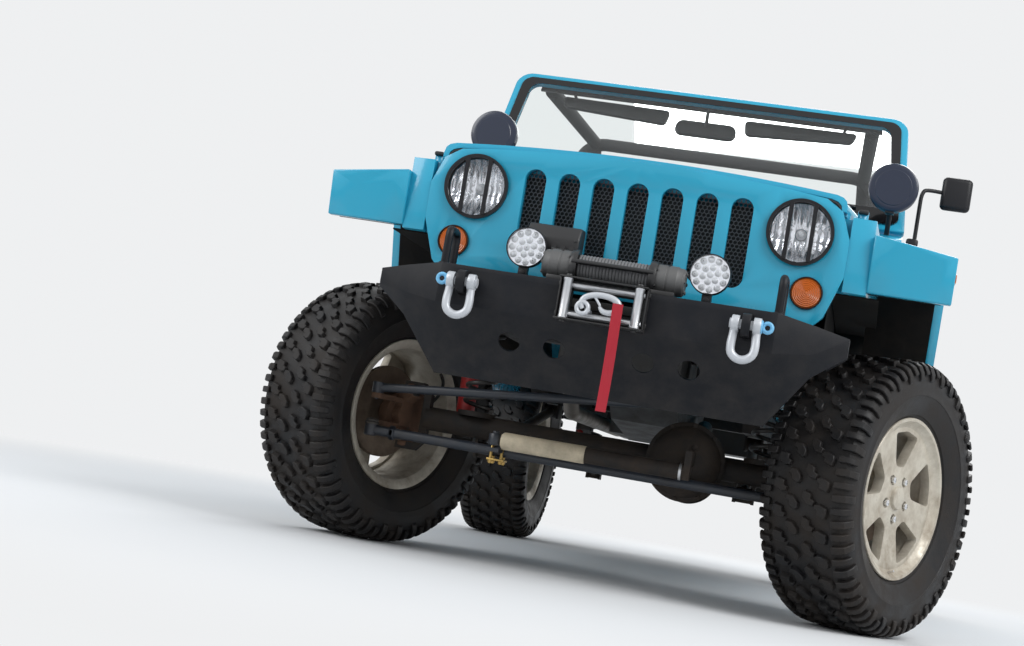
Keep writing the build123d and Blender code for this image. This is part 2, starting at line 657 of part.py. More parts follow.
with BuildPart() as winch_hook:
    with BuildSketch(Plane(origin=(0, ya(BUMPER_FACE - 70), zb(688)), x_dir=(1, 0, 0), z_dir=(0, -1, 0))):
        SlotOverall(120, 60)
        SlotOverall(80, 24, mode=Mode.SUBTRACT)
    extrude(amount=16)
    rod((-40, ya(BUMPER_FACE - 71), zb(688)), (-40, ya(BUMPER_FACE), zb(688)), 6)
with BuildPart() as pull_strap:
    block((40, 70), (BUMPER_FACE - 90, BUMPER_FACE - 86.3), (390, 690))

# Lamps on the bumper and the pillars, mirrors
with BuildPart() as aux_lamps:
    for x in (-375, 375):
        with Locations((x, ya(-600 - 30), zb(831 + 5))):
            Cylinder(62, 60, rotation=(90, 0, 0))
        block((x - 12, x + 12), (-650, -610), (CHANNEL_TOP, 790))
    for x in (-375, 375):
        with Locations((x, ya(-600 - 60 - 5), zb(836))):
            Cylinder(56, 10, rotation=(90, 0, 0))
    for side in (-1, 1):
        with Locations((side * 720, ya(600), zb(1382))):
            Cylinder(85, 60, rotation=(90, 0, 0))
        rod((side * 720, ya(712), zb(COWL_TOP - 12)), (side * 720, ya(618), zb(1345)), 9)
    add(cowl.part, mode=Mode.SUBTRACT)
with BuildPart() as mirror_left:
    block((882, 992), (735, 765), (1352, 1477))
    tube([(818, ya(720), zb(1224)), (818, ya(720), zb(1414)), (882, ya(748), zb(1414))], 7, 30)
    block((HOOD_REAR_HALF + 40, 830), (700, 740), (1186, 1228))

# Tail lamps and rear bumper with its receiver
with BuildPart() as lamps_with_tail:
    add(signal_lamps.part)
    for side in (-1, 1):
        block((side * 716 - 55, side * 716 + 55), (TUB_REAR, TUB_REAR + 55), (900, 1060))
signal_lamps = lamps_with_tail
RECEIVER = 50.8
RECEIVER_OUT = 63.5
PIN_Y = 3080.0
with BuildPart() as rear_bumper:
    block((-700, 700), (RAIL_REAR_Y, RAIL_REAR_Y + 90), (480, 595))
    block((-RECEIVER_OUT / 2, RECEIVER_OUT / 2), (RAIL_REAR_Y + 90, PIN_Y + 50),
          (530 - RECEIVER_OUT / 2, 530 + RECEIVER_OUT / 2))
    block((-RECEIVER / 2, RECEIVER / 2), (RAIL_REAR_Y + 20, PIN_Y + 50), (530 - RECEIVER / 2, 530 + RECEIVER / 2),
          Mode.SUBTRACT)
    with Locations((0, ya(PIN_Y), zb(530))):
        Cylinder(8.05, 90, rotation=(0, 90, 0), mode=Mode.SUBTRACT)
    for side in (-1, 1):
        block((side * RAIL_X - 30, side * RAIL_X + 30), (RAIL_REAR_Y - 60, RAIL_REAR_Y), (520, 600))

# Axles


def axle_brackets(side, axle_y, out):
    """Ears for a link's eye below the tube, and a plate for the shock absorber's lower eye."""
    y = axle_y - FRONT_AXLE_Y
    z = TYRE_RADIUS - BODY_LIFT
    for x in (side * LINK_AXLE_X - LINK_EYE / 2 - 8, side * LINK_AXLE_X + LINK_EYE / 2):
        block((x, x + 8), (y + out * 20 - 26, y + out * 20 + 26), (z - 96, z - 10))
    inner = side * (SHOCK_X - SHOCK_EYE / 2)
    x0, x1 = sorted((inner, inner - side * 10))
    block((x0, x1), (y + 10, y + SHOCK_Y[0][0] + 22), (SHOCK_FOOT_Z - BODY_LIFT - 22, SHOCK_FOOT_Z - BODY_LIFT + 22))


with BuildPart() as front_axle:
    rod((-KINGPIN_X + 60, FRONT_AXLE_Y, TYRE_RADIUS), (KINGPIN_X - 60, FRONT_AXLE_Y, TYRE_RADIUS), AXLE_TUBE)
    with Locations((230, FRONT_AXLE_Y, TYRE_RADIUS)):
        Sphere(112)
    rod((230, FRONT_AXLE_Y, TYRE_RADIUS), (230, FRONT_AXLE_Y + 190, TYRE_RADIUS + 10), 45)
    for side in (-1, 1):
        kx = side * KINGPIN_X
        with BuildSketch(Plane(origin=(0, FRONT_AXLE_Y - 22, 0), x_dir=(1, 0, 0), z_dir=(0, -1, 0))):
            for z in (-1, 1):
                Polygon((kx - side * 72, TYRE_RADIUS + z * 20), (kx - side * 72, TYRE_RADIUS + z * 74),
                        (kx - side * 42, TYRE_RADIUS + z * 110), (kx + side * 22, TYRE_RADIUS + z * 110),
                        (kx + side * 22, TYRE_RADIUS + z * 86), (kx - side * 36, TYRE_RADIUS + z * 86),
                        (kx - side * 48, TYRE_RADIUS + z * 66), (kx - side * 48, TYRE_RADIUS + z * 20), align=None)
            with Locations((kx - side * 60, TYRE_RADIUS)):
                Rectangle(24, 60)
        extrude(amount=-44)
        with Locations((kx, FRONT_AXLE_Y, TYRE_RADIUS)):
            Cylinder(10 + RUNNING_FIT, 300, mode=Mode.SUBTRACT)
        # spring pads
        with Locations((side * 465, FRONT_AXLE_Y, TYRE_RADIUS + AXLE_TUBE - 8)):
            Cylinder(62, 16, align=(Align.CENTER, Align.CENTER, Align.MIN))
        axle_brackets(side, FRONT_AXLE_Y, 1)

with BuildPart() as rear_axle:
    rod((-HALF_TRACK - 20, REAR_AXLE_Y, TYRE_RADIUS), (HALF_TRACK + 20, REAR_AXLE_Y, TYRE_RADIUS),
        HUB_BORE - RUNNING_FIT)
    rod((-640, REAR_AXLE_Y, TYRE_RADIUS), (640, REAR_AXLE_Y, TYRE_RADIUS), AXLE_TUBE)
    with Locations((0, REAR_AXLE_Y, TYRE_RADIUS)):
        Sphere(125)
    rod((0, REAR_AXLE_Y, TYRE_RADIUS), (0, REAR_AXLE_Y - 200, TYRE_RADIUS + 10), 48)
    for side in (-1, 1):
        with Locations((side * 465, REAR_AXLE_Y, TYRE_RADIUS + AXLE_TUBE - 8)):
            Cylinder(62, 16, align=(Align.CENTER, Align.CENTER, Align.MIN))
        axle_brackets(side, REAR_AXLE_Y, -1)


def knuckle_at(side):
    """Steering knuckle with its spindle, pins and arms, turned as parked."""
    out = side
    with BuildPart() as straight:
        for z in (-1, 1):
            rod((0, 0, z * 70), (0, 0, z * (KINGPIN_RISE + 12)), 10)
        with BuildSketch(Plane(origin=(0, -26, 0), x_dir=(1, 0, 0), z_dir=(0, -1, 0))):
            Polygon((-20 * out, -80), (26 * out, -80), (48 * out, -40), (48 * out, 40), (26 * out, 80),
                    (-20 * out, 80), (-20 * out, 62), (10 * out, 40), (10 * out, -40), (-20 * out, -62), align=None)
        extrude(amount=-52)
        rod((10 * out, 0, 0), ((HALF_TRACK - KINGPIN_X + 20) * out, 0, 0), HUB_BORE - RUNNING_FIT)
        for z, carried in ((-TIE_ROD_DROP, (-1, 1)), (DRAG_LINK_RISE - TIE_ROD_DROP, (-1,))):
            if side in carried:
                with BuildSketch(Plane.XY.offset(z - 8)):
                    Polygon((12 * out, -20), (44 * out, -20), (16 * out, -STEER_ARM), (-16 * out, -STEER_ARM),
                            align=None)
                    with Locations((0, -STEER_ARM)):
                        Circle(18)
                extrude(amount=16)
                with Locations((0, -STEER_ARM, z)):
                    Cylinder(6 + RUNNING_FIT, 40, mode=Mode.SUBTRACT)
    return straight.part


with BuildPart() as knuckle_left:
    with Locations(Location((KINGPIN_X, FRONT_AXLE_Y, TYRE_RADIUS), (0, 0, -STEER))):
        add(knuckle_at(1))
with BuildPart() as knuckle_right:
    with Locations(Location((-KINGPIN_X, FRONT_AXLE_Y, TYRE_RADIUS), (0, 0, -STEER))):
        add(knuckle_at(-1))

# Steering links, laid out as the knuckles stand when parked
STABILIZER_Y = -215.0
STABILIZER_Z = 385.0
arm = Vector(-STEER_ARM * sin(radians(STEER)), -STEER_ARM * cos(radians(STEER)), 0)
left_end = Vector(KINGPIN_X, FRONT_AXLE_Y, TYRE_RADIUS - TIE_ROD_DROP) + arm
right_end = Vector(-KINGPIN_X, FRONT_AXLE_Y, TYRE_RADIUS - TIE_ROD_DROP) + arm
PITMAN_AT = Vector(290, ya(-20), 612)
pitman_end = PITMAN_AT + arm
drag_end = right_end + Vector(0, 0, DRAG_LINK_RISE)
with BuildPart() as tie_rod:
    rod(right_end - Vector(0, 0, 26), left_end - Vector(0, 0, 26), 16)
    for end in (right_end, left_end):
        with Locations(end - Vector(0, 0, 26)):
            Cylinder(20, 34)
        rod(end - Vector(0, 0, 26), end + Vector(0, 0, 12), 6)
    block((-365, -325), (STABILIZER_Y - 20, arm.Y), (left_end.Z - 30 - BODY_LIFT, left_end.Z - 18 - BODY_LIFT))
with BuildPart() as drag_link:
    rod(drag_end + Vector(0, 0, 26), pitman_end - Vector(0, 0, 26), 14)
    with Locations(drag_end + Vector(0, 0, 26)):
        Cylinder(19, 34)
    with Locations(pitman_end - Vector(0, 0, 26)):
        Cylinder(19, 34)
    rod(drag_end + Vector(0, 0, 26), drag_end - Vector(0, 0, 12), 6)
    rod(pitman_end - Vector(0, 0, 26), pitman_end + Vector(0, 0, 12), 6)
with BuildPart() as pitman_arm:
    with BuildSketch(Plane.XY.offset(PITMAN_AT.Z - 8)):
        with Locations((PITMAN_AT.X, PITMAN_AT.Y)):
            Circle(26)
        with Locations((pitman_end.X, pitman_end.Y)):
            Circle(19)
        make_hull()
    extrude(amount=16)
    rod(PITMAN_AT, PITMAN_AT + Vector(0, 0, 60), 16)
    with Locations(pitman_end):
        Cylinder(6 + RUNNING_FIT, 40, mode=Mode.SUBTRACT)
with BuildPart() as frame_with_box:
    add(frame.part)
    block((225, 345), (-110, 50), (530, 700))
    with Locations(PITMAN_AT + Vector(0, 0, 28)):
        Cylinder(16 + RUNNING_FIT, 60, align=(Align.CENTER, Align.CENTER, Align.MIN), mode=Mode.SUBTRACT)
    add(engine_block.part, mode=Mode.SUBTRACT)
frame = frame_with_box

# Stabilizer: barrel on the axle, rod on the tie rod
with BuildPart() as axle_with_barrel:
    add(front_axle.part)
    rod((-100, ya(STABILIZER_Y), STABILIZER_Z), (245, ya(STABILIZER_Y), STABILIZER_Z), 25)
    rod((-101, ya(STABILIZER_Y), STABILIZER_Z), (235, ya(STABILIZER_Y), STABILIZER_Z), 8 + RUNNING_FIT,
        mode=Mode.SUBTRACT)
    block((245, 265), (STABILIZER_Y - 22, STABILIZER_Y + 22), (STABILIZER_Z - BODY_LIFT - 24, 340))
    block((245, 265), (STABILIZER_Y + 22, -30), (300, 340))
front_axle = axle_with_barrel
with BuildPart() as stabilizer_rod:
    rod((-330, ya(STABILIZER_Y), STABILIZER_Z), (60, ya(STABILIZER_Y), STABILIZER_Z), 8)
    with Locations((-345, ya(STABILIZER_Y), STABILIZER_Z)):
        Cylinder(20, 24)

# Springs, shock absorbers, links
with BuildPart() as coil_springs:
    for x in (-465, 465):
        for axle_y, top in ((FRONT_AXLE_Y, zb(RAIL_FRONT_Z + RAIL_DEPTH - 20)), (REAR_AXLE_Y, zb(RAIL_REAR_Z + 60))):
            foot = TYRE_RADIUS + AXLE_TUBE + 8
            with BuildSketch(Plane(origin=(x, axle_y, 0), x_dir=(1, 0, 0), z_dir=(0, -1, 0))):
                with Locations((0, (foot + top) / 2)):
                    Rectangle(108, top - foot)
                    Rectangle(76, top - foot, mode=Mode.SUBTRACT)
                    with Locations((-50, 0)):
                        Rectangle(100, top - foot, mode=Mode.SUBTRACT)
            revolve(axis=Axis((x, axle_y, 0), (0, 0, 1)))
with BuildPart() as shock_absorbers:
    for side in (-1, 1):
        for (foot_y, head_y), axle_y in zip(SHOCK_Y, (0, REAR_Y)):
            foot = Vector(side * SHOCK_X, ya(axle_y + foot_y), SHOCK_FOOT_Z)
            head = Vector(side * SHOCK_X, ya(axle_y + head_y), zb(SHOCK_HEAD_Z))
            rod(foot + (head - foot) * 0.06, foot + (head - foot) * 0.6, 30)
            rod(foot, head, 10)
            for end in (foot, head):
                rod(end - Vector(SHOCK_EYE / 2, 0, 0), end + Vector(SHOCK_EYE / 2, 0, 0), 17)

with BuildPart() as suspension_links:
    for side in (-1, 1):
        for axle_y, out, hang_y in ((FRONT_AXLE_Y, 20, 820), (REAR_AXLE_Y, -20, 1650)):
            low = Vector(side * LINK_AXLE_X, axle_y + out, TYRE_RADIUS - 70)
            high = Vector(side * RAIL_X, ya(hang_y), zb(LINK_HANG_Z))
            rod(low, high, 17)
            for end in (low, high):
                rod(end - Vector(LINK_EYE / 2, 0, 0), end + Vector(LINK_EYE / 2, 0, 0), 24)

with BuildPart() as driveline:
    add(gearbox.part)
    rod((230, FRONT_AXLE_Y + 190, TYRE_RADIUS + 10), (160, ya(1150), zb(470)), 30)
    rod((0, REAR_AXLE_Y - 200, TYRE_RADIUS + 10), (0, ya(1470), zb(450)), 32)
    add(front_axle.part, mode=Mode.SUBTRACT)
    add(rear_axle.part, mode=Mode.SUBTRACT)
with BuildPart() as exhaust:
    tube([(-190, ya(300), zb(640)), (-262, ya(300), zb(640)), (-262, ya(600), zb(430)), (-250, ya(1740), zb(430)),
          (-250, ya(2000), zb(520))], 28, 34)
with BuildPart() as fuel_tank:
    block((-370, 370), (2560, 2860), (430, RAIL_REAR_Z))

# Wheels: one tyre and one rim, set at each hub. The tyre is one pitch of carcass and lugs, repeated round.
PITCHES = 20
TREAD_BASE = TYRE_RADIUS - TREAD_DEPTH
CARCASS = (
    # X, radius: tread edge, shoulder, widest point, above the bead, bead
    (112, TREAD_BASE),
    (146, 378),
    (TYRE_WIDTH / 2 - 6, 318),
    (128, 262),
    (99.5, 249),
    (99.5, BEAD_RADIUS),
)
CAVITY = ((86, BEAD_RADIUS), (86, 256), (143, 318), (104, 390))
LUG_ROWS = (
    # side, share of a pitch off centre, outline as X and share of a half pitch
    (0, 0.0, ((-66, -0.30), (-20, -0.62), (66, -0.40), (66, 0.30), (20, 0.62), (-66, 0.40))),
    (1, 0.5, ((84, -0.52), (TYRE_WIDTH / 2 - 4, -0.60), (TYRE_WIDTH / 2 - 4, 0.60), (84, 0.44))),
    (-1, 0.5, ((84, -0.44), (TYRE_WIDTH / 2 - 4, -0.60), (TYRE_WIDTH / 2 - 4, 0.60), (84, 0.52))),
)
half_turn = radians(180 / PITCHES)
half_pitch = TYRE_RADIUS * half_turn
with BuildPart() as tyre_form:
    with BuildPart(mode=Mode.PRIVATE) as carcass_pitch:
        with BuildSketch(Plane.XZ):
            Polygon(*CARCASS, *[(-x, r) for x, r in reversed(CARCASS)], align=None)
            Polygon(*CAVITY, *[(-x, r) for x, r in reversed(CAVITY)], align=None, mode=Mode.SUBTRACT)
        extrude(amount=TYRE_RADIUS / 2, both=True)
        with BuildSketch(Plane.YZ.offset(-TYRE_WIDTH)):
            reach = TYRE_RADIUS * 1.2
            Polygon((0, 0), (reach * sin(half_turn), reach * cos(half_turn)),
                    (-reach * sin(half_turn), reach * cos(half_turn)), align=None)
        extrude(amount=2 * TYRE_WIDTH, mode=Mode.INTERSECT)
    lugs = []
    for side, off, outline in LUG_ROWS:
        turn = off * 2 * half_turn
        # flat lug tops, as high as lets the wheel stand at its axle height
        top = (TYRE_RADIUS - 0.6 * half_pitch * sin(turn)) / cos(turn)
        foot = TREAD_BASE * 0.9 if side else TREAD_BASE - 6
        with BuildPart(mode=Mode.PRIVATE) as lug:
            with BuildSketch(Plane.XY.offset(foot)):
                Polygon(*[((side or 1) * x, y * half_pitch) for x, y in outline], align=None)
            extrude(amount=top - foot)
        lugs.append(lug.part.rotate(Axis.X, off * 360 / PITCHES))
    add([piece.rotate(Axis.X, 360 / PITCHES * n) for n in range(PITCHES) for piece in (carcass_pitch.part, *lugs)])

with BuildPart() as rim_form:
    with BuildSketch(Plane.XY):
        with BuildLine():
            Polyline((-113, 245), (-100, 245), (-100, BEAD_RADIUS - 0.3), (100, BEAD_RADIUS - 0.3), (100, 246),
                     (114, 246), (104, 214), (-104, 214), (-113, 245))
        make_face()
    revolve(axis=Axis.X)
    with BuildSketch(Plane.YZ.offset(62)):
        Circle(84)
        with PolarLocations(148, 5, start_angle=90):
            Rectangle(150, 78)
        Circle(HUB_BORE, mode=Mode.SUBTRACT)
    extrude(amount=34)
    with BuildSketch(Plane.YZ.offset(0)):
        Circle(84)
        Circle(HUB_BORE, mode=Mode.SUBTRACT)
    extrude(amount=62)


def placed(form, side, axle_y, turn):
    """A wheel piece at its hub, its outside facing away from the vehicle."""
    at = Vector(side * HALF_TRACK, axle_y, TYRE_RADIUS)
    if turn:
        offset = HALF_TRACK - KINGPIN_X
        at = Vector(side * KINGPIN_X, axle_y, TYRE_RADIUS) + Vector(side * offset, 0, 0).rotate(Axis.Z, -turn)
    return form.part.moved(Location(at, (0, 0, (180 if side < 0 else 0) - turn)))


wheels = {}
for end, axle_y, turn in (("front", FRONT_AXLE_Y, STEER), ("rear", REAR_AXLE_Y, 0)):
    for name, side in (("left", 1), ("right", -1)):
        for piece, form in (("tyre", tyre_form), ("rim", rim_form)):
            with BuildPart() as wheels[f"{piece}_{end}_{name}"]:
                add(placed(form, side, axle_y, turn))

# Tailgate with the spare wheel
SPARE_Z = 1010.0
SPARE_Y = TUB_REAR + 40 + TYRE_WIDTH / 2 + 20
GATE_HINGE_X = -600.0
with BuildPart() as tailgate:
    block((-GATE_HALF, GATE_HALF), (TUB_REAR - 36, TUB_REAR), (CARGO_FLOOR + PANEL_GAP + FLOOR_PLATE, BELT))
    for z in (800.0, 1080.0):
        block((GATE_HINGE_X, -GATE_HALF + 120), (TUB_REAR, TUB_REAR + 14), (z - 30, z + 30))
        with Locations((GATE_HINGE_X, ya(TUB_REAR + 16), zb(z))):
            Cylinder(14, 60)
            Cylinder(7 + RUNNING_FIT, 80, mode=Mode.SUBTRACT)
with BuildPart() as side_with_hinges:
    add(tub_side_right.part)
    for z in (800.0, 1080.0):
        for dz in (-52, 32):
            with Locations((GATE_HINGE_X, ya(TUB_REAR + 16), zb(z + dz))):
                Cylinder(14, 20, align=(Align.CENTER, Align.CENTER, Align.MIN))
        rod((GATE_HINGE_X, ya(TUB_REAR + 16), zb(z - 52)), (GATE_HINGE_X, ya(TUB_REAR + 16), zb(z + 52)), 7)
        for z0, z1 in ((z - 52, z - 36), (z + 36, z + 52)):
            block((GATE_HINGE_X - 60, GATE_HINGE_X), (TUB_REAR, TUB_REAR + 10), (z0, z1))
tub_side_right = side_with_hinges
with BuildPart() as gate_with_carrier:
    add(tailgate.part)
    block((-110, 110), (TUB_REAR, TUB_REAR + 20), (SPARE_Z - 110, BELT - 10))
    rod((0, ya(TUB_REAR + 10), zb(SPARE_Z)), (0, ya(SPARE_Y - 62), zb(SPARE_Z)), 80)
    rod((0, ya(TUB_REAR + 10), zb(SPARE_Z)), (0, ya(SPARE_Y + 20), zb(SPARE_Z)), HUB_BORE)
tailgate = gate_with_carrier
spare_at = Location((0, ya(SPARE_Y), zb(SPARE_Z)), (0, 0, 90))
with BuildPart() as spare_rim:
    add(rim_form.part.moved(spare_at))
    add(tailgate.part, mode=Mode.SUBTRACT)
with BuildPart() as spare_tyre:
    add(tyre_form.part.moved(spare_at))

for name, form in (
    ("frame", frame), ("tub_floor", tub_floor), ("tub_side_left", tub_side_left),
    ("tub_side_right", tub_side_right), ("cowl", cowl), ("windshield_frame", windshield_frame),
    ("windshield_glass", windshield_glass), ("dashboard", dashboard), ("steering_wheel", steering_wheel),
    ("front_seats", front_seats), ("rear_bench", rear_bench), ("sport_bar", sport_bar), ("grille", grille),
    ("headlamp_rings", headlamp_rings), ("headlamps", headlamps), ("signal_lamps", signal_lamps),
    ("radiator", radiator), ("engine_block", engine_block), ("driveline", driveline), ("hood", hood),
    ("front_fenders", front_fenders), ("front_flares", front_flares), ("rear_flares", rear_flares),
    ("front_bumper", front_bumper), ("shackles", shackles), ("fairlead", fairlead), ("winch", winch),
    ("winch_hook", winch_hook), ("pull_strap", pull_strap), ("aux_lamps", aux_lamps),
    ("mirror_left", mirror_left), ("rear_bumper", rear_bumper), ("front_axle", front_axle),
    ("rear_axle", rear_axle), ("knuckle_left", knuckle_left), ("knuckle_right", knuckle_right),
    ("tie_rod", tie_rod), ("drag_link", drag_link), ("pitman_arm", pitman_arm), ("stabilizer_rod", stabilizer_rod),
    ("coil_springs", coil_springs), ("shock_absorbers", shock_absorbers), ("suspension_links", suspension_links),
    ("exhaust", exhaust), ("fuel_tank", fuel_tank), ("tailgate", tailgate), ("spare_rim", spare_rim),
    ("spare_tyre", spare_tyre), *wheels.items(),
):
    save(form, name)
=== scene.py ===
import json
from math import cos, exp, hypot, pi, radians, sin

import bpy
from mathutils import Matrix, Vector


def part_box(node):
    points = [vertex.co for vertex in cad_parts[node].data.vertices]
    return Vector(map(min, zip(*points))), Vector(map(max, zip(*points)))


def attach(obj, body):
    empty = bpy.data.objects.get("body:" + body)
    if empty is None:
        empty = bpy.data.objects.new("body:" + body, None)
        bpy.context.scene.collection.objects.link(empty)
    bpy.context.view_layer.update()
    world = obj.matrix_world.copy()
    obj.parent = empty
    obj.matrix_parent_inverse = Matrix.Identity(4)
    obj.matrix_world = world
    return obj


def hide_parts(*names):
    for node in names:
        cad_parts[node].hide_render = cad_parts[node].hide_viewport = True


# %% [markdown]
# The exact solids of the vehicle come in first. They are the skeleton: every later piece is fitted to them,
# rides on the same moving body, or stands in for one of them with finer detail.

# %% Load the solids
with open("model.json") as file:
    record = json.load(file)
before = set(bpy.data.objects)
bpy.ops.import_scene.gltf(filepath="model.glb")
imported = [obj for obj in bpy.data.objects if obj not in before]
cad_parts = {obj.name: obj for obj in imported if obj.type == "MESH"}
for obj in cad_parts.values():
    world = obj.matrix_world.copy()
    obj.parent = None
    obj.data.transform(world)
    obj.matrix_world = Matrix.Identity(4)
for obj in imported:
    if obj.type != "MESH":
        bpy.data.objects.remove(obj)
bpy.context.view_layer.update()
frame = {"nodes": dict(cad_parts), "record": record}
nodes = frame["nodes"]

# %% [markdown]
# Lengths of the body count from the front axle and heights from the stock ground, as in the solids' source.
# One helper turns them into metres of the shared frame, and two more say what the next operator acts on, because
# an operator acts on all that is selected.

# %% Places on the body
FRONT_AXLE_Y = -1.278
REAR_AXLE_Y = 1.146
BODY_LIFT = 0.11
AXLE_Z = 0.419
ACROSS, FORWARD, BACKWARD, UPWARD = Vector((1, 0, 0)), Vector((0, -1, 0)), Vector((0, 1, 0)), Vector((0, 0, 1))


def at(x, y, z):
    """A place on the body, given in mm, as metres in the row frame."""
    return Vector((x / 1000, FRONT_AXLE_Y + y / 1000, BODY_LIFT + z / 1000))


def deselect():
    if bpy.context.object and bpy.context.object.mode != "OBJECT":
        bpy.ops.object.mode_set(mode="OBJECT")
    bpy.ops.object.select_all(action="DESELECT")


def chosen(obj):
    """Only this object is selected, and it is the active one."""
    deselect()
    bpy.context.view_layer.objects.active = obj
    obj.select_set(True)


print("middle of the front axle:", [round(v, 3) for v in (0, FRONT_AXLE_Y, AXLE_Z)])

# %% [markdown]
# Mud and dust gather low down and in hollows. One shader group makes that mask from the height above the
# ground and from noise, and every outside material mixes its own colour with the same mud by it. Mud could also be
# painted on, but a rule of height needs no picture and fits every piece that is added later.

# %% The shared dirt group
def shader_node(tree, kind, links=(), values=(), operation=None):
    """A node of a kind, with its inputs linked to sources or set to plain values."""
    made = tree.nodes.new("ShaderNode" + kind)
    if operation:
        made.operation = operation
    for socket, source in links:
        tree.links.new(source, made.inputs[socket])
    for socket, value in values:
        made.inputs[socket].default_value = value
    return made


def ranged(tree, source, low, high, foot=0.0, head=1.0):
    """Stretches a value from low..high to 0..1, or to other ends."""
    values = [("From Min", low), ("From Max", high), ("To Min", foot), ("To Max", head)]
    return shader_node(tree, "MapRange", [("Value", source)], values).outputs[0]


def combined(tree, operation, first, second):
    return shader_node(tree, "Math", [(0, first), (1, second)], operation=operation).outputs[0]


DIRT_INPUTS = (("Clean", "NodeSocketColor", (0.5, 0.5, 0.5, 1)), ("Mud", "NodeSocketColor", (0.12, 0.09, 0.065, 1)),
               ("Amount", "NodeSocketFloat", 0.5), ("Top", "NodeSocketFloat", 0.9),
               ("Clean Roughness", "NodeSocketFloat", 0.4), ("Grain", "NodeSocketFloat", 18.0))
DIRT_OUTPUTS = (("Color", "NodeSocketColor"), ("Roughness", "NodeSocketFloat"), ("Mask", "NodeSocketFloat"),
                ("Height", "NodeSocketFloat"))
MUD_FOOT = 0.25
MUD_ROUGHNESS = 0.92


def make_dirt():
    tree = bpy.data.node_groups.new("dirt", "ShaderNodeTree")
    for title, kind, value in DIRT_INPUTS:
        socket = tree.interface.new_socket(title, in_out="INPUT", socket_type=kind)
        socket.default_value = value
    for title, kind in DIRT_OUTPUTS:
        tree.interface.new_socket(title, in_out="OUTPUT", socket_type=kind)
    start = tree.nodes.new("NodeGroupInput").outputs
    end = tree.nodes.new("NodeGroupOutput").inputs
    place = shader_node(tree, "TexCoord").outputs["Object"]
    height = shader_node(tree, "SeparateXYZ", [(0, place)]).outputs["Z"]
    low = ranged(tree, height, MUD_FOOT, 1.0, foot=1.0, head=0.0)
    tree.links.new(start["Top"], low.node.inputs["From Max"])
    cloud = shader_node(tree, "TexNoise", [("Vector", place), ("Scale", start["Grain"])],
                        [("Detail", 8), ("Roughness", 0.65)]).outputs["Fac"]
    speck = shader_node(tree, "TexNoise", [("Vector", place)], [("Scale", 120), ("Detail", 3)]).outputs["Fac"]
    film = combined(tree, "MULTIPLY", low, ranged(tree, cloud, 0.38, 0.66))
    dots = combined(tree, "MULTIPLY", ranged(tree, speck, 0.62, 0.72, head=0.5), low)
    mask = combined(tree, "MULTIPLY", combined(tree, "MAXIMUM", film, dots), start["Amount"])
    mask.node.use_clamp = True
    mix = tree.nodes.new("ShaderNodeMix")
    mix.data_type = "RGBA"
    for socket, source in ((0, mask), (6, start["Clean"]), (7, start["Mud"])):
        tree.links.new(source, mix.inputs[socket])
    rough = shader_node(tree, "Mix", [(0, mask), (2, start["Clean Roughness"])], [(3, MUD_ROUGHNESS)])
    tree.links.new(mix.outputs[2], end["Color"])
    tree.links.new(rough.outputs[0], end["Roughness"])
    tree.links.new(mask, end["Mask"])
    tree.links.new(combined(tree, "MULTIPLY", mask, cloud), end["Height"])
    return tree


dirt = make_dirt()
print("dirt group nodes:", len(dirt.nodes))

# %% [markdown]
# One table names every finish of the vehicle: its clean colour, its gloss, how metallic it is, how muddy, and up
# to what height. The mud itself is darker and wetter on the running gear than on the painted body. Values side by
# side in a table are easier to compare and to correct than nodes that are set one by one.

# %% Finishes
MUD_DARK = (0.05, 0.036, 0.026, 1)
MUD_PALE = (0.16, 0.135, 0.11, 1)


def finish_material(name, colour, rough=0.5, metal=0.0, mud=0.5, top=0.9, coat=0.0, bump=0.0, mud_colour=MUD_PALE,
                    grain=14.0, specular=0.5, bump_scale=300.0):
    """One finish: gloss and metal in the shader itself, colour and roughness through the dirt."""
    made = bpy.data.materials.new(name)
    made.use_nodes = True
    tree = made.node_tree
    shader = tree.nodes["Principled BSDF"].inputs
    for socket, value in (("Metallic", metal), ("Coat Weight", coat), ("Coat Roughness", 0.05),
                          ("Specular IOR Level", specular)):
        shader[socket].default_value = value
    layer = tree.nodes.new("ShaderNodeGroup")
    layer.node_tree = dirt
    for socket, value in (("Clean", (*colour, 1)), ("Mud", mud_colour), ("Amount", mud), ("Top", top),
                          ("Clean Roughness", rough), ("Grain", grain)):
        layer.inputs[socket].default_value = value
    tree.links.new(layer.outputs["Color"], shader["Base Color"])
    tree.links.new(layer.outputs["Roughness"], shader["Roughness"])
    raised = shader_node(tree, "Bump", [("Height", layer.outputs["Height"])], [("Strength", 0.35), ("Distance", 0.004)])
    if bump:
        place = shader_node(tree, "TexCoord").outputs["Object"]
        fine = shader_node(tree, "TexNoise", [("Vector", place)], [("Scale", bump_scale)])
        skin = shader_node(tree, "Bump", [("Height", fine.outputs["Fac"])], [("Strength", bump), ("Distance", 0.001)])
        tree.links.new(skin.outputs["Normal"], raised.inputs["Normal"])
    tree.links.new(raised.outputs["Normal"], shader["Normal"])
    return made


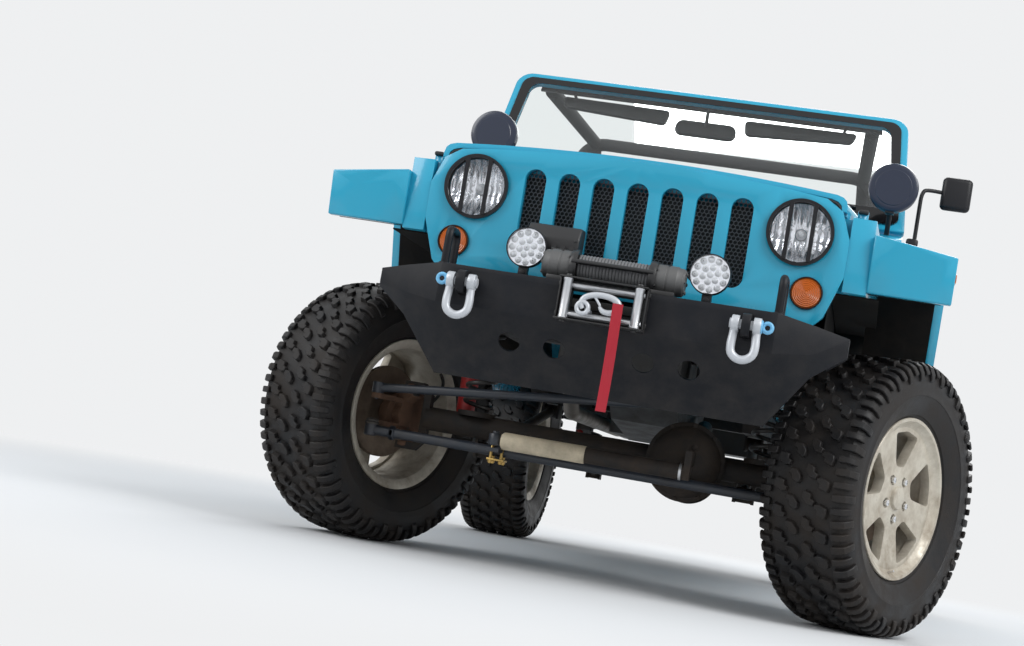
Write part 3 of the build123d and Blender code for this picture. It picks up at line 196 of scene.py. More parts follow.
FINISHES = {
    "body_paint": dict(colour=(0.02, 0.33, 0.5), rough=0.24, mud=0.22, top=1.1, coat=0.45, specular=0.35),
    "frame_black": dict(colour=(0.01, 0.01, 0.011), specular=0.3, rough=0.5, mud=0.9, mud_colour=MUD_DARK),
    "dash_plastic": dict(colour=(0.03, 0.03, 0.033), rough=0.6, mud=0.1, bump=0.3),
    "seat_fabric": dict(colour=(0.06, 0.06, 0.066), rough=0.9, mud=0.1, bump=0.5),
    "bar_padding": dict(colour=(0.02, 0.02, 0.022), rough=0.85, mud=0.1, bump=0.5),
    "trim_black": dict(colour=(0.01, 0.01, 0.012), rough=0.38, mud=0.2, specular=0.3),
    "mesh_black": dict(colour=(0.085, 0.09, 0.098), rough=0.35, mud=0.2),
    "cast_metal": dict(colour=(0.12, 0.12, 0.12), rough=0.6, metal=0.6, mud=0.8, bump=0.4, mud_colour=MUD_DARK),
    "bumper_black": dict(colour=(0.007, 0.008, 0.011), rough=0.42, mud=0.16, top=1.0, bump=0.3, bump_scale=420.0,
                         specular=0.2),
    "shackle_steel": dict(colour=(0.52, 0.54, 0.57), rough=0.38, mud=0.2, metal=0.3),
    "zinc_steel": dict(colour=(0.62, 0.63, 0.65), rough=0.3, metal=0.9, mud=0.2),
    "winch_black": dict(colour=(0.015, 0.015, 0.016), rough=0.4, mud=0.25),
    "strap_red": dict(colour=(0.36, 0.008, 0.022), rough=0.8, mud=0.1),
    "axle_black": dict(colour=(0.014, 0.012, 0.011), specular=0.3, rough=0.6, mud=0.9, mud_colour=MUD_DARK, bump=0.5),
    "rusty_iron": dict(colour=(0.16, 0.085, 0.05), rough=0.8, mud=0.7, mud_colour=MUD_DARK, bump=0.6, metal=0.2),
    "rod_steel": dict(colour=(0.02, 0.026, 0.036), rough=0.35, mud=0.35, mud_colour=MUD_DARK),
    "spring_black": dict(colour=(0.02, 0.02, 0.02), rough=0.4, mud=0.6, mud_colour=MUD_DARK),
    "stabilizer_cream": dict(colour=(0.62, 0.53, 0.38), rough=0.4, mud=0.55, mud_colour=MUD_DARK),
    "damper_red": dict(colour=(0.45, 0.02, 0.02), rough=0.35, mud=0.5, mud_colour=MUD_DARK),
    "exhaust_steel": dict(colour=(0.3, 0.27, 0.24), rough=0.5, metal=0.8, mud=0.8, mud_colour=MUD_DARK),
    "tank_plastic": dict(colour=(0.02, 0.02, 0.02), rough=0.5, mud=0.8, mud_colour=MUD_DARK),
    "rim_paint": dict(colour=(0.56, 0.52, 0.44), rough=0.42, metal=0.35, mud=0.7, top=1.3,
                      mud_colour=(0.22, 0.17, 0.12, 1)),
    "disc_iron": dict(colour=(0.2, 0.15, 0.11), rough=0.55, metal=0.6, mud=0.6, mud_colour=MUD_DARK),
    "tyre_rubber": dict(colour=(0.008, 0.008, 0.009), rough=0.42, mud=0.6, top=1.6, mud_colour=(0.03, 0.022, 0.016, 1),
                        specular=0.3, bump=0.5, grain=9.0),
    "chrome": dict(colour=(0.75, 0.76, 0.78), rough=0.12, metal=1.0, mud=0.08),
    "reflector": dict(colour=(0.92, 0.93, 0.95), rough=0.2, metal=1.0, mud=0.0),
    "rubber_black": dict(colour=(0.012, 0.012, 0.012), rough=0.7, mud=0.4, bump=0.2),
    "gold_zinc": dict(colour=(0.62, 0.42, 0.14), rough=0.35, metal=0.85, mud=0.35, mud_colour=MUD_DARK),
    "pin_blue": dict(colour=(0.16, 0.44, 0.68), rough=0.4, mud=0.2),
    "cover_navy": dict(colour=(0.004, 0.01, 0.03), rough=0.3, mud=0.12, coat=0.3),
    "rope_grey": dict(colour=(0.16, 0.16, 0.165), rough=0.7, metal=0.3, mud=0.35, bump=0.4),
    "frit_black": dict(specular=0.3, colour=(0.006, 0.006, 0.007), rough=0.12, mud=0.1, coat=0.5),
    # Near-black for the wheel liners, which also paints the shade inside the wheel wells and under the flares.
    "liner_and_shade_black": dict(specular=0.15, colour=(0.008, 0.008, 0.008), rough=0.8, mud=0.55, top=1.3, mud_colour=MUD_DARK),
    "mirror_face": dict(colour=(0.8, 0.82, 0.84), rough=0.03, metal=1.0, mud=0.03),
    "tail_red": dict(colour=(0.45, 0.01, 0.012), rough=0.15, mud=0.2, coat=0.6),
    "lens_white": dict(colour=(0.82, 0.84, 0.86), rough=0.2, mud=0.1, coat=0.7),
    "amber_lens": dict(colour=(0.52, 0.12, 0.018), rough=0.2, mud=0.15, coat=0.6),
}
materials = {name: finish_material(name, **values) for name, values in FINISHES.items()}
print("finishes:", len(materials))

# %% [markdown]
# The windshield and the lamps have clear glass. It lets light through by its transmission and gets no mud, because
# a film on it would hide what lies behind.

# %% Glass
def glass_material(name, colour, rough):
    made = bpy.data.materials.new(name)
    made.use_nodes = True
    shader = made.node_tree.nodes["Principled BSDF"].inputs
    for socket, value in (("Base Color", (*colour, 1)), ("Roughness", rough), ("IOR", 1.45),
                          ("Transmission Weight", 1.0)):
        shader[socket].default_value = value
    return made


materials["glass"] = glass_material("glass", (0.92, 0.96, 0.95), 0.02)
materials["lamp_glass"] = glass_material("lamp_glass", (0.97, 0.98, 1.0), 0.04)
print("materials with glass:", len(materials))

# %% [markdown]
# Every solid wears the finish that its slot in the record names, so those that stay as they are look right too.
# A finer piece wears the same one later, and then nothing changes where it stands for its solid.

# %% Dress the solids
SLOT_OF = {part["node"]: part["material_slot"] for part in frame["record"]["subparts"]}
for node, slot in SLOT_OF.items():
    nodes[node].data.materials.clear()
    nodes[node].data.materials.append(materials[slot])

# %% [markdown]
# Most pieces start as a flat outline. A circle primitive with as many corners as the outline has gives the
# face, its corners are put in place, and extrude turns it into a solid, as one would do by hand.

# %% Outlines and extrusions
def edit(obj):
    """Edit mode, with all of the piece selected."""
    chosen(obj)
    bpy.ops.object.mode_set(mode="EDIT")
    bpy.ops.mesh.select_all(action="SELECT")


def leave():
    bpy.ops.object.mode_set(mode="OBJECT")


def leave_outwards():
    """Object mode again, with every face turned to point outwards."""
    bpy.ops.mesh.select_all(action="SELECT")
    bpy.ops.mesh.normals_make_consistent(inside=False)
    leave()


def extrude(step):
    bpy.ops.mesh.extrude_region_move(TRANSFORM_OT_translate={"value": Vector(step)})


def smoothed(obj, angle, merge=0.00002):
    """Doubles merged, and flat faces joined again, as after a boolean."""
    edit(obj)
    if merge:
        bpy.ops.mesh.remove_doubles(threshold=merge)
    bpy.ops.mesh.dissolve_limited(angle_limit=radians(angle))
    leave()


def outline(name, points, filled=True):
    """A ring of vertices at these points, as a face or open."""
    deselect()
    bpy.ops.mesh.primitive_circle_add(vertices=len(points), fill_type="NGON" if filled else "NOTHING")
    made = bpy.context.object
    made.name = name
    for vertex, point in zip(made.data.vertices, points):
        vertex.co = point
    return made


def pushed(name, points, step):
    """An outline extruded by a step."""
    made = outline(name, points)
    edit(made)
    extrude(step)
    leave_outwards()
    return made


# %% [markdown]
# Lamps, hubs, rollers and caps are round. They could be cut from cylinders, but a profile that is spun round an
# axis gives every step and lip of a turned part at once. A small bevel then breaks the sharp edges.

# %% Turned parts and bevels
def turned(name, profile, centre=(0, 0, 0), axis=(1, 0, 0), steps=48):
    """A closed profile of (length along the axis, radius) in mm, spun round the axis."""
    along = Vector(axis).normalized()
    out = along.orthogonal().normalized()
    middle = Vector(centre)
    made = outline(name, [middle + along * (a / 1000) + out * (b / 1000) for a, b in profile], filled=False)
    edit(made)
    bpy.ops.mesh.spin(steps=steps, angle=2 * pi, center=middle, axis=along)
    bpy.ops.mesh.select_all(action="SELECT")
    bpy.ops.mesh.remove_doubles(threshold=0.00002)
    leave_outwards()
    return made


def bevelled(obj, width, segments=2, angle=35):
    """Rounds the edges that are sharper than an angle, by a width in mm."""
    chosen(obj)
    made = obj.modifiers.new("edge", "BEVEL")
    made.width = width / 1000
    made.segments = segments
    made.limit_method = "ANGLE"
    made.angle_limit = radians(angle)
    bpy.ops.object.modifier_apply(modifier=made.name)
    return obj


# %% [markdown]
# A piece is built from several closed bodies, like a welded or bolted part. They are joined into one object,
# get one finish, and are told which moving body carries them and which solids they stand for.

# %% Joining, copying and finishing
def joined(name, pieces):
    """One object of many."""
    deselect()
    for piece in pieces:
        piece.select_set(True)
    bpy.context.view_layer.objects.active = pieces[0]
    if len(pieces) > 1:
        bpy.ops.object.join()
    pieces[0].name = name
    return pieces[0]


def copied(obj, matrix=None, name=None):
    """A copy with its own mesh, set down by a matrix."""
    twin = obj.copy()
    twin.data = obj.data.copy()
    bpy.context.scene.collection.objects.link(twin)
    if matrix is not None:
        twin.data.transform(matrix)
        if matrix.determinant() < 0:
            twin.data.flip_normals()
    twin.name = name or obj.name
    return twin


def done(obj, finish, body, smooth=35, stands_for=()):
    """Gives a piece its shading, its finish, the body it rides on and the solids it stands for."""
    chosen(obj)
    bpy.ops.object.transform_apply(location=True, rotation=True, scale=True)
    bpy.ops.object.shade_smooth_by_angle(angle=radians(smooth))
    obj.data.materials.clear()
    obj.data.materials.append(materials[finish])
    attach(obj, body)
    if stands_for:
        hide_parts(*stands_for)
    return obj


def finished(name, pieces, finish, body="chassis", smooth=35, stands_for=()):
    """Joins pieces into one, and gives it all that done gives."""
    return done(joined(name, pieces), finish, body, smooth, stands_for)


# %% [markdown]
# Bars, boxes and bolts come up everywhere. Each is a primitive that is put between two places and gets its edges
# rounded, since nothing that is cast, sawn or moulded has an edge of no width.

# %% Bars, boxes and bolts
def bar(name, a, b, radius, sides=20):
    """A round bar between two points, with its radius in mm."""
    a, b = Vector(a), Vector(b)
    deselect()
    bpy.ops.mesh.primitive_cylinder_add(vertices=sides, radius=radius / 1000, depth=(b - a).length)
    made = bpy.context.object
    made.name = name
    made.data.transform(Matrix.Translation((a + b) / 2) @ (b - a).to_track_quat("Z", "Y").to_matrix().to_4x4())
    return made


def slab(name, low, high, edge=2, segments=2):
    """A box between two corners, with its edges rounded by some mm."""
    low, high = Vector(low), Vector(high)
    deselect()
    bpy.ops.mesh.primitive_cube_add(size=1)
    made = bpy.context.object
    made.name = name
    made.data.transform(Matrix.Translation((low + high) / 2) @ Matrix.Diagonal((*(high - low), 1)))
    return bevelled(made, edge, segments) if edge else made


def block(name, x, y, z, edge=2, segments=2):
    """A box over a range of x, of y and of z on the body, in mm, whichever end is named first."""
    (x0, x1), (y0, y1), (z0, z1) = sorted(x), sorted(y), sorted(z)
    return slab(name, at(x0, y0, z0), at(x1, y1, z1), edge, segments)


def bolt(name, place, axis, radius=8, height=6, sides=6):
    """A bolt's head with a domed top, standing on a surface, sized in mm."""
    along, place = Vector(axis).normalized(), Vector(place)
    return bevelled(bar(name, place - along * 0.001, place + along * (height / 1000), radius, sides), radius * 0.16)


print("tools ready")

# %% [markdown]
# The tyre is one turned carcass with a ring of lugs. The carcass has a bead, ribs on its sidewall and a flat tread,
# all in one profile, of which only a half is written down and the other is mirrored.

# %% Tyre carcass
PITCHES = 34
PITCH = 2 * pi / PITCHES
TREAD_R, BASE_R, FLANK_R = 0.419, 0.4055, 0.39
HALF_CARCASS = [
    # x and radius of one half, from the bead to the middle of the tread, in mm
    (99, 230.2), (104, 235), (107.5, 248), (112, 255), (117, 257), (121, 264), (133, 290), (142, 315), (144, 316.5),
    (144.5, 321.5), (143.5, 324), (145, 342), (143, 366), (136, 388), (124, 400), (90, 405), (40, 406.2),
]
other_half = [(-x, radius) for x, radius in reversed(HALF_CARCASS)]
CARCASS = other_half[-1:] + HALF_CARCASS + other_half[:-1]
carcass = turned("carcass", CARCASS, steps=96)

# %% [markdown]
# Only one pitch of tread is modelled: two crescent blocks in the middle, and a shoulder block on each side that
# wraps down the sidewall. It is then copied round, and the finished tyre is copied to all five wheels, so they
# match exactly. A bump in the material would be lighter, but it leaves the tyre's outline smooth.

# %% Tread blocks
def tread_block(name, points, low, high, inset=0.86):
    """A tread block standing on the carcass, its top drawn in a little."""
    made = outline(name, [(x, y, low) for x, y in points])
    edit(made)
    extrude((0, 0, high - low))
    middle = [sum(point[i] for point in points) / len(points) for i in (0, 1)]
    bpy.ops.transform.resize(value=(inset, inset, 1), center_override=(*middle, high))
    leave_outwards()
    return bevelled(made, 1.6, 1)


MIDDLE_BLOCK = ((0.004, -0.01), (0.022, -0.03), (0.046, -0.034), (0.05, -0.018), (0.036, -0.012), (0.034, 0.004),
                (0.012, 0.014), (0.004, 0.006))
NEXT_BLOCK = ((0.056, -0.026), (0.086, -0.034), (0.092, -0.016), (0.088, 0.0), (0.064, 0.01), (0.046, 0.008),
              (0.044, -0.006), (0.056, -0.01))
SHOULDER_SIDE = (
    # x and radius of a shoulder block's outer line, then back inside the carcass
    (0.1, 0.4172), (0.124, 0.414), (0.14, 0.404), (0.149, 0.385), (0.1505, 0.364), (0.144, 0.358),
    (0.135, 0.37), (0.12, 0.39), (0.1, 0.398),
)
lugs = []
for sign in (1, -1):
    shift = 0.0 if sign > 0 else 0.5
    for title, points, phase in (("middle", MIDDLE_BLOCK, 0.0), ("next", NEXT_BLOCK, 0.42)):
        lug = tread_block(title, [(sign * x, sign * y) for x, y in points], BASE_R - 0.006, TREAD_R)
        lugs.append((lug, shift + phase))
    for width, reach, phase in ((0.021, 1.0, 0.0), (0.019, 0.35, 0.5)):
        flank = [(sign * x, radius if radius > FLANK_R else FLANK_R - (FLANK_R - radius) * reach)
                 for x, radius in SHOULDER_SIDE]
        lug = pushed("shoulder", [(x, -width / 2, radius) for x, radius in flank], (0, width, 0))
        lugs.append((bevelled(lug, 2.2, 1), shift + phase))
ring = []
for lug, phase in lugs:
    for n in range(PITCHES):
        ring.append(copied(lug, Matrix.Rotation((n + phase) * PITCH, 4, "X")))
    bpy.data.objects.remove(lug)
tyre = joined("tyre", [carcass, *ring])
print("tyre triangles:", sum(len(p.vertices) - 2 for p in tyre.data.polygons))

# %% [markdown]
# The solids say where each wheel stands, since the centre of a tyre's box is the wheel's centre. Its outside faces
# away from the vehicle, and the front wheels are steered, by the same angle as in the solids' source.

# %% Wheel places
STEER = radians(28)
WHEEL_NAMES = ("front_left", "front_right", "rear_left", "rear_right")


def wheel_matrix(name):
    """Where a wheel stands, facing outwards and turned as it is steered."""
    low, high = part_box("tyre_" + name)
    facing = 0 if "left" in name else pi
    turn = -STEER if "front" in name else 0
    return Matrix.Translation((low + high) / 2) @ Matrix.Rotation(facing + turn, 4, "Z")


wheels = [(name, "wheel_" + name, wheel_matrix(name)) for name in WHEEL_NAMES]
print("wheels at", [[round(v, 3) for v in place.translation] for name, body, place in wheels])
low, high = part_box("spare_tyre")
SPARE = Matrix.Translation((low + high) / 2) @ Matrix.Rotation(pi / 2, 4, "Z")
for name, body, place in wheels:
    done(copied(tyre, place, "detailed_tyre_" + name), "tyre_rubber", body, 32, ["tyre_" + name])
done(copied(tyre, SPARE, "detailed_tyre_spare"), "tyre_rubber", "tailgate", 32, ["spare_tyre"])
bpy.data.objects.remove(tyre)

# %% [markdown]
# The rims are cast alloy with five broad spokes. A turned dish is cut by five rounded windows with a boolean,
# and a bevel then breaks all its edges, which is how light catches a casting. Spokes built one by one would need
# their fillets made by hand.

# %% Rim dish
def boolean(obj, cutter):
    """Takes a closed cutter out of a piece, and removes the cutter."""
    chosen(obj)
    cut = obj.modifiers.new("cut", "BOOLEAN")
    cut.object = cutter
    cut.operation = "DIFFERENCE"
    cut.solver = "EXACT"
    bpy.ops.object.modifier_apply(modifier=cut.name)
    bpy.data.objects.remove(cutter)
    return obj


SPOKES = 5
dish = turned("dish", [(88, 0), (88, 70), (84, 84), (87, 130), (93, 190), (94, 216), (64, 216), (56, 150), (50, 85),
                       (50, 0)], steps=80)
WINDOW_INNER, WINDOW_OUTER, INNER_HALF, OUTER_HALF = 0.098, 0.204, radians(15), radians(20.5)


def rim_spot(x, radius, turn):
    """A place on the wheel, at a turn round its axis."""
    return Vector((x, radius * sin(turn), radius * cos(turn)))


window = outline("window", [rim_spot(0.02, WINDOW_INNER, -INNER_HALF), rim_spot(0.02, WINDOW_OUTER, -OUTER_HALF),
                            rim_spot(0.02, WINDOW_OUTER + 0.001, 0), rim_spot(0.02, WINDOW_OUTER, OUTER_HALF),
                            rim_spot(0.02, WINDOW_INNER, INNER_HALF)])
edit(window)
bpy.ops.mesh.bevel(affect="VERTICES", offset=0.013, segments=4)
bpy.ops.mesh.select_all(action="SELECT")
extrude((0.1, 0, 0))
leave_outwards()
cutters = [copied(window, Matrix.Rotation(n * 2 * pi / SPOKES, 4, "X")) for n in range(SPOKES)]
bpy.data.objects.remove(window)
NUT_RING = 0.0635
nut_turns = [(n + 0.5) * 2 * pi / SPOKES for n in range(SPOKES)]
for turn in nut_turns:
    cutters.append(bar("pocket", rim_spot(0.08, NUT_RING, turn), rim_spot(0.1, NUT_RING, turn), 15.5, 20))
boolean(dish, joined("cutters", cutters))
bevelled(dish, 2.8, 2, 40)

# %% [markdown]
# Behind the dish lies the barrel that holds the tyre. A cap, five nuts and a valve close the middle, and the brake
# disc is two thin rings with air between them. All are turned or bolted on in the wheel's own frame.

# %% Barrel, nuts and brake disc
barrel = turned("barrel", [(-113, 240), (-113.5, 245), (-110, 246), (-102, 245.2), (-99.5, 229.8), (99.5, 229.8),
                           (102, 245.5), (112, 246.2), (114.5, 244.5), (113.5, 236), (106, 230), (99, 225),
                           (94, 215.5), (30, 208), (-70, 209), (-100, 215), (-108, 226)], steps=96)
hub = turned("hub", [(0, 36.5), (0, 80), (4, 84), (52, 80), (52, 36.5)])
cap = turned("cap", [(86, 0), (86, 36), (94, 35), (97.5, 32.5), (98.5, 26), (99, 24.5), (99.5, 0)], steps=40)
alloy = joined("alloy", [dish, barrel, hub, cap])
nuts = [bolt("nut", rim_spot(0.0805, NUT_RING, turn), ACROSS, 10.5, 15) for turn in nut_turns]
nuts.append(bar("valve", (0.099, 0.0, -0.2235), (0.117, 0.0, -0.2165), 3.2, 12))
nuts = joined("nuts", nuts)
rotor = turned("rotor", [(-24, 60), (-24, 148.5), (-22.5, 150), (-15.5, 150), (-15.5, 90), (-10.5, 90), (-10.5, 150),
                         (-3.5, 150), (-2, 148.5), (-2, 60)], steps=72)
hat = turned("hat", [(-24, 36.5), (-24, 80), (0, 83), (0, 36.5)])
rotor = joined("rotor", [rotor, hat])

# %% [markdown]
# The pattern stands at the origin. Copies of it are moved to the four wheels, which turn, and to the spare, which
# rides on the tailgate, and the pattern is removed.

# %% Rims in place
for name, body, place in wheels:
    done(copied(alloy, place, "detailed_rim_" + name), "rim_paint", body, 32, ["rim_" + name])
    done(copied(nuts, place, "nuts_" + name), "chrome", body)
    done(copied(rotor, place, "brake_disc_" + name), "disc_iron", body)
done(copied(alloy, SPARE, "detailed_rim_spare"), "rim_paint", "tailgate", 32, ["spare_rim"])
done(copied(nuts, SPARE, "nuts_spare"), "chrome", "tailgate")
for obj in (alloy, nuts, rotor):
    bpy.data.objects.remove(obj)
print("rims done")

# %% [markdown]
# Pressed and folded sheet has soft edges that catch the light. A solid's copy is merged, its flat faces are
# joined again, and a small bevel rounds the edges that stay.

# %% Soft edges on the body
def softened(node, width, body="chassis", segments=2):
    """A copy of a solid with small rounds on its edges, which stands for the solid."""
    twin = copied(nodes[node], name="soft_" + node)
    twin.parent = None
    twin.matrix_world = Matrix.Identity(4)
    smoothed(twin, 0.6, 0.00001)
    return done(bevelled(twin, width, segments, 30), SLOT_OF[node], body, 32, [node])


for node, width in (("front_flares", 12), ("rear_flares", 10), ("front_fenders", 4), ("tub_side_left", 5),
                    ("tub_side_right", 5), ("cowl", 4), ("rear_bumper", 5), ("grille", 2.2)):
    piece = softened(node, width)
    print(piece.name, "faces", len(piece.data.polygons))
softened("hood", 2.2, "hood")
softened("tailgate", 4, "tailgate")

# %% [markdown]
# The grille leans back a little, and the lamps in it lean with it. Two directions of its face, outwards and up, put
# everything on it, and a lens is a thin shell between two shallow domes.

# %% Places on the leaning grille
LEAN_BACK = radians(2.2)
GRILLE_OUT = Vector((0, -cos(LEAN_BACK), -sin(LEAN_BACK)))
GRILLE_UP = Vector((0, -sin(LEAN_BACK), cos(LEAN_BACK)))


def on_grille(x, z, out=0.0):
    """A place on the grille's face, in mm, some mm in front of it."""
    rise = (z - 940) / cos(LEAN_BACK)
    return at(0, -440, 940) + Vector((x, 0, 0)) / 1000 + GRILLE_UP * rise / 1000 + GRILLE_OUT * out / 1000


def dome_line(radius, rise, back, count=7):
    """Points of a lens from its middle to its rim."""
    ball = (radius ** 2 + rise ** 2) / (2 * rise)
    radii = [radius * n / (count - 1) for n in range(count)]
    return [(back + rise - ball + (ball ** 2 - r ** 2) ** 0.5, r) for r in radii]


def lens(name, radius, rise, back, thick, centre, axis):
    """A domed disc of glass."""
    outer = dome_line(radius, rise, back)
    inner = [(a - thick, b) for a, b in reversed(outer)]
    return turned(name, outer + inner, centre, axis)


# %% [markdown]
# The round headlamps sit in the leaning grille. Each is a bright bowl with upright flutes, a small bulb and a clear
# domed lens in front, so light really falls through the glass and comes back from the flutes. The flutes are a wave
# that moves the bowl's own points, and they fade out round the bulb.

# %% Headlamps
HEADLAMP = (488, 1013)
FLUTE_PITCH, FLUTE_DEPTH = 0.019, 0.0022
lenses, bowls, bulbs, trims = [], [], [], []
for side in (-1, 1):
    centre = on_grille(side * HEADLAMP[0], HEADLAMP[1])
    lenses.append(lens("lens", 87.5, 23.5, -14, 3, centre, GRILLE_OUT))
    front = [(-66 + 44 * (radius / 86.2) ** 2, radius) for radius in (18 + n * 6.2 for n in range(12))]
    back = [(depth - 2, radius + 1) for depth, radius in reversed(front)]
    bowl = turned("bowl", front + back, centre, GRILLE_OUT, 120)
    for vertex in bowl.data.vertices:
        away = vertex.co - centre
        wave = FLUTE_DEPTH * cos(away.x * 2 * pi / FLUTE_PITCH)
        vertex.co += GRILLE_OUT * wave * min(1.0, hypot(away.x, away.z) / 0.05)
    bowls.append(bowl)
    bulbs.append(turned("bulb", [(-74, 0), (-74, 17), (-58, 16), (-54, 9), (-30, 9), (-24, 6), (-22, 0)], centre,
                        GRILLE_OUT, 24))
    trims.append(turned("trim", [(-10, 87.2), (-5, 89), (-4, 93), (-8, 96), (-14, 96.5), (-14, 87.2)], centre,
                        GRILLE_OUT, 64))
finished("headlamp_lenses", lenses, "lamp_glass", "chassis", 40, ["headlamps"])
finished("headlamp_bowls", bowls, "reflector", "chassis", 25)
finished("headlamp_bulbs", bulbs, "lens_white")
finished("headlamp_trims", trims, "trim_black")
print("headlamps at", HEADLAMP)

# %% [markdown]
# Turn signals are amber with pressed rings, and the tail lamps are red blocks with a lip. The solids keep all
# of them in one node, so one of the new pieces stands for that node and the others only ride beside it.

# %% Signals, side markers and tail lamps
SIGNAL = (532, 841)
ambers, bezels = [], []
for side in (-1, 1):
    centre = on_grille(side * SIGNAL[0], SIGNAL[1])
    line = [(13, 0)]
    for n in range(1, 9):
        line += [(13.5 - n, n * 5.2 - 2), (11.2 - n, n * 5.2)]
    line += [(1, 44.5), (-12, 44.5), (-12, 0)]
    ambers.append(turned("signal", line, centre, GRILLE_OUT, 48))
    bezels.append(turned("bezel", [(-10, 44), (4, 44), (7.5, 45.5), (7, 47.5), (1, 48), (-10, 47.8)], centre,
                         GRILLE_OUT, 48))
    ambers.append(block("marker", (side * 940.5, side * 946), (-370, -314), (942, 968), 3))
finished("amber_lamps", ambers, "amber_lens", "chassis", 30, ["signal_lamps"])
finished("signal_bezels", bezels, "trim_black")
reds, cases = [], []
for x in (-716, 716):
    cases.append(block("case", (x - 55, x + 55), (3000, 3034), (900, 1060), 4))
    reds.append(block("lens", (x - 49, x + 49), (3032, 3052), (906, 1054), 8, 4))
    for dx in (-30, 30):
        for z in (916, 1044):
            cases.append(bolt("screw", at(x + dx, 3050, z), BACKWARD, 4, 3, 12))
finished("tail_cases", cases, "trim_black")
finished("tail_lenses", reds, "tail_red")
print("signals and tail lamps done")

# %% [markdown]
# Behind the slots lies a black honeycomb mesh. Two open cells are modelled and two array modifiers fill the panel.
# A picture with holes would be lighter, but real walls show their depth where the slots are seen from the side.

# %% Honeycomb
CELL = 0.0075
MESH_WIDTH, MESH_HEIGHT, MESH_BEHIND = 0.728, 0.286, 43.5
hexagon = [(CELL * cos(pi / 6 + n * pi / 3), CELL * sin(pi / 6 + n * pi / 3)) for n in range(6)]
cell = outline("honeycomb", [(x, 0, z) for x, z in hexagon])
edit(cell)
bpy.ops.mesh.inset(thickness=0.0011)
bpy.ops.mesh.delete(type="FACE")
bpy.ops.mesh.select_all(action="SELECT")
extrude((0, 0.003, 0))
leave_outwards()
step_x, step_z = 2 * CELL * cos(pi / 6), 3 * CELL
second = copied(cell, Matrix.Translation((step_x / 2, 0, step_z / 2)))
cell = joined("honeycomb", [cell, second])
for count, offset in ((int(MESH_WIDTH / step_x), (step_x, 0, 0)), (int(MESH_HEIGHT / step_z), (0, 0, step_z))):
    chosen(cell)
    rows = cell.modifiers.new("rows", "ARRAY")
    rows.count = count
    rows.use_relative_offset = False
    rows.use_constant_offset = True
    rows.constant_offset_displace = offset
    bpy.ops.object.modifier_apply(modifier=rows.name)
low = [min(v.co[i] for v in cell.data.vertices) for i in range(3)]
high = [max(v.co[i] for v in cell.data.vertices) for i in range(3)]
cell.data.transform(Matrix.Translation(on_grille(0, 957, -MESH_BEHIND)) @ Matrix.Rotation(LEAN_BACK, 4, "X")
                    @ Matrix.Translation((-(low[0] + high[0]) / 2, 0, -(low[2] + high[2]) / 2)))
done(cell, "mesh_black", "chassis", 30, ["radiator"])
print("honeycomb triangles:", sum(len(p.vertices) - 2 for p in cell.data.polygons))

# %% [markdown]
# The radiator's core shows dimly through the mesh: a dark body with thin fins, a tank above and a foot below. Boxes
# do for it, because so little of it can be seen.

# %% Radiator
core = [block("core", (-350, 350), (-380, -310), (720, 1070), 4),
        block("tank", (-350, 350), (-384, -306), (1030, 1076), 10, 3),
        block("foot", (-320, 320), (-470, -340), (692, 720), 3)]
for n in range(26):
    z = 734 + n * 11.2
    core.append(block("fin", (-340, 340), (-384, -379), (z, z + 4), 0))
finished("radiator_core", core, "rubber_black")
print("radiator parts:", len(core))

# %% [markdown]
# Fog lamps stand on the bumper, and two lamps with plain covers stand before the windshield posts. Both are turned
# shapes: a can, then a bezel with a clear lens over small cells on a bright plate, or a domed cover.

# %% Lamps on the bumper and the pillars
FOG_X, PILLAR_LAMP_X = 268, 720
CELLS, FIRST_RING = 19, 7
cans, faces, rims, covers, cells, plates = [], [], [], [], [], []
for side in (-1, 1):
    x = side * FOG_X
    centre = at(x, -600, 831)
    plates.append(turned("plate", [(6.2, 0), (6.2, 57.2), (5.2, 57.2), (5.2, 0)], centre, FORWARD))
    cans.append(turned("can", [(6, 0), (6, 57.5), (-6, 58.5), (-22, 50), (-36, 36), (-43, 18), (-44, 0)], centre,
                       FORWARD))
    rims.append(turned("rim", [(4, 57.5), (4, 59), (17, 59), (19, 58), (19, 56.5), (17, 56), (8, 56)], centre,
                       FORWARD, 56))
    faces.append(lens("face", 56, 7, 14, 4, centre, FORWARD))
    for n in range(CELLS):
        ring, place = (0, 0) if n == 0 else (1, n - 1) if n < FIRST_RING else (2, n - FIRST_RING)
        turn = place * 2 * pi / (6 * ring or 1) + ring * 0.3
        spot = centre + Vector((0.0215 * ring * cos(turn), -0.0055, 0.0215 * ring * sin(turn)))
        cells.append(turned("cell", [(0, 9.8), (1.5, 9.6), (4.5, 7), (5.8, 3), (6, 0)], spot, FORWARD, 16))
    cans.append(block("foot", (x - 14, x + 14), (-612, -588), (740, 778), 3))
    cans.append(bolt("nut", at(x, -616, 756), FORWARD, 9))
    x = side * PILLAR_LAMP_X
    centre = at(x, 620, 1382)
    cans.append(turned("can", [(16, 80), (-14, 83), (-26, 74), (-36, 58), (-43, 34), (-44, 0)], centre, FORWARD))
    covers.append(turned("cover", [(-4, 84.5), (-4, 86.2), (20, 86.2), (26.2, 83.5), (28.5, 78), (28.5, 64),
                                   (30, 62), (30, 0), (20, 0)], centre, FORWARD, 64))
    cans.append(bar("stalk", at(x, 712, 1219), at(x, 618, 1345), 9))
    cans.append(block("clip", (x - 16, x + 16), (596, 630), (1290, 1306), 3))
finished("lamp_cans", cans, "trim_black", "chassis", 40, ["aux_lamps"])
finished("fog_rims", rims, "trim_black")
finished("fog_plates", plates, "reflector")
finished("lamp_covers", covers, "cover_navy", "chassis", 30)
finished("fog_lenses", faces, "lamp_glass")
finished("fog_cells", cells, "lens_white", "chassis", 60)
print("extra lamps done")

# %% [markdown]
# The winch is a drum of wire rope between a motor and a gear case. The rope's turns are one turned ring,
# copied along the drum, because a helix this tight looks the same and stays light.

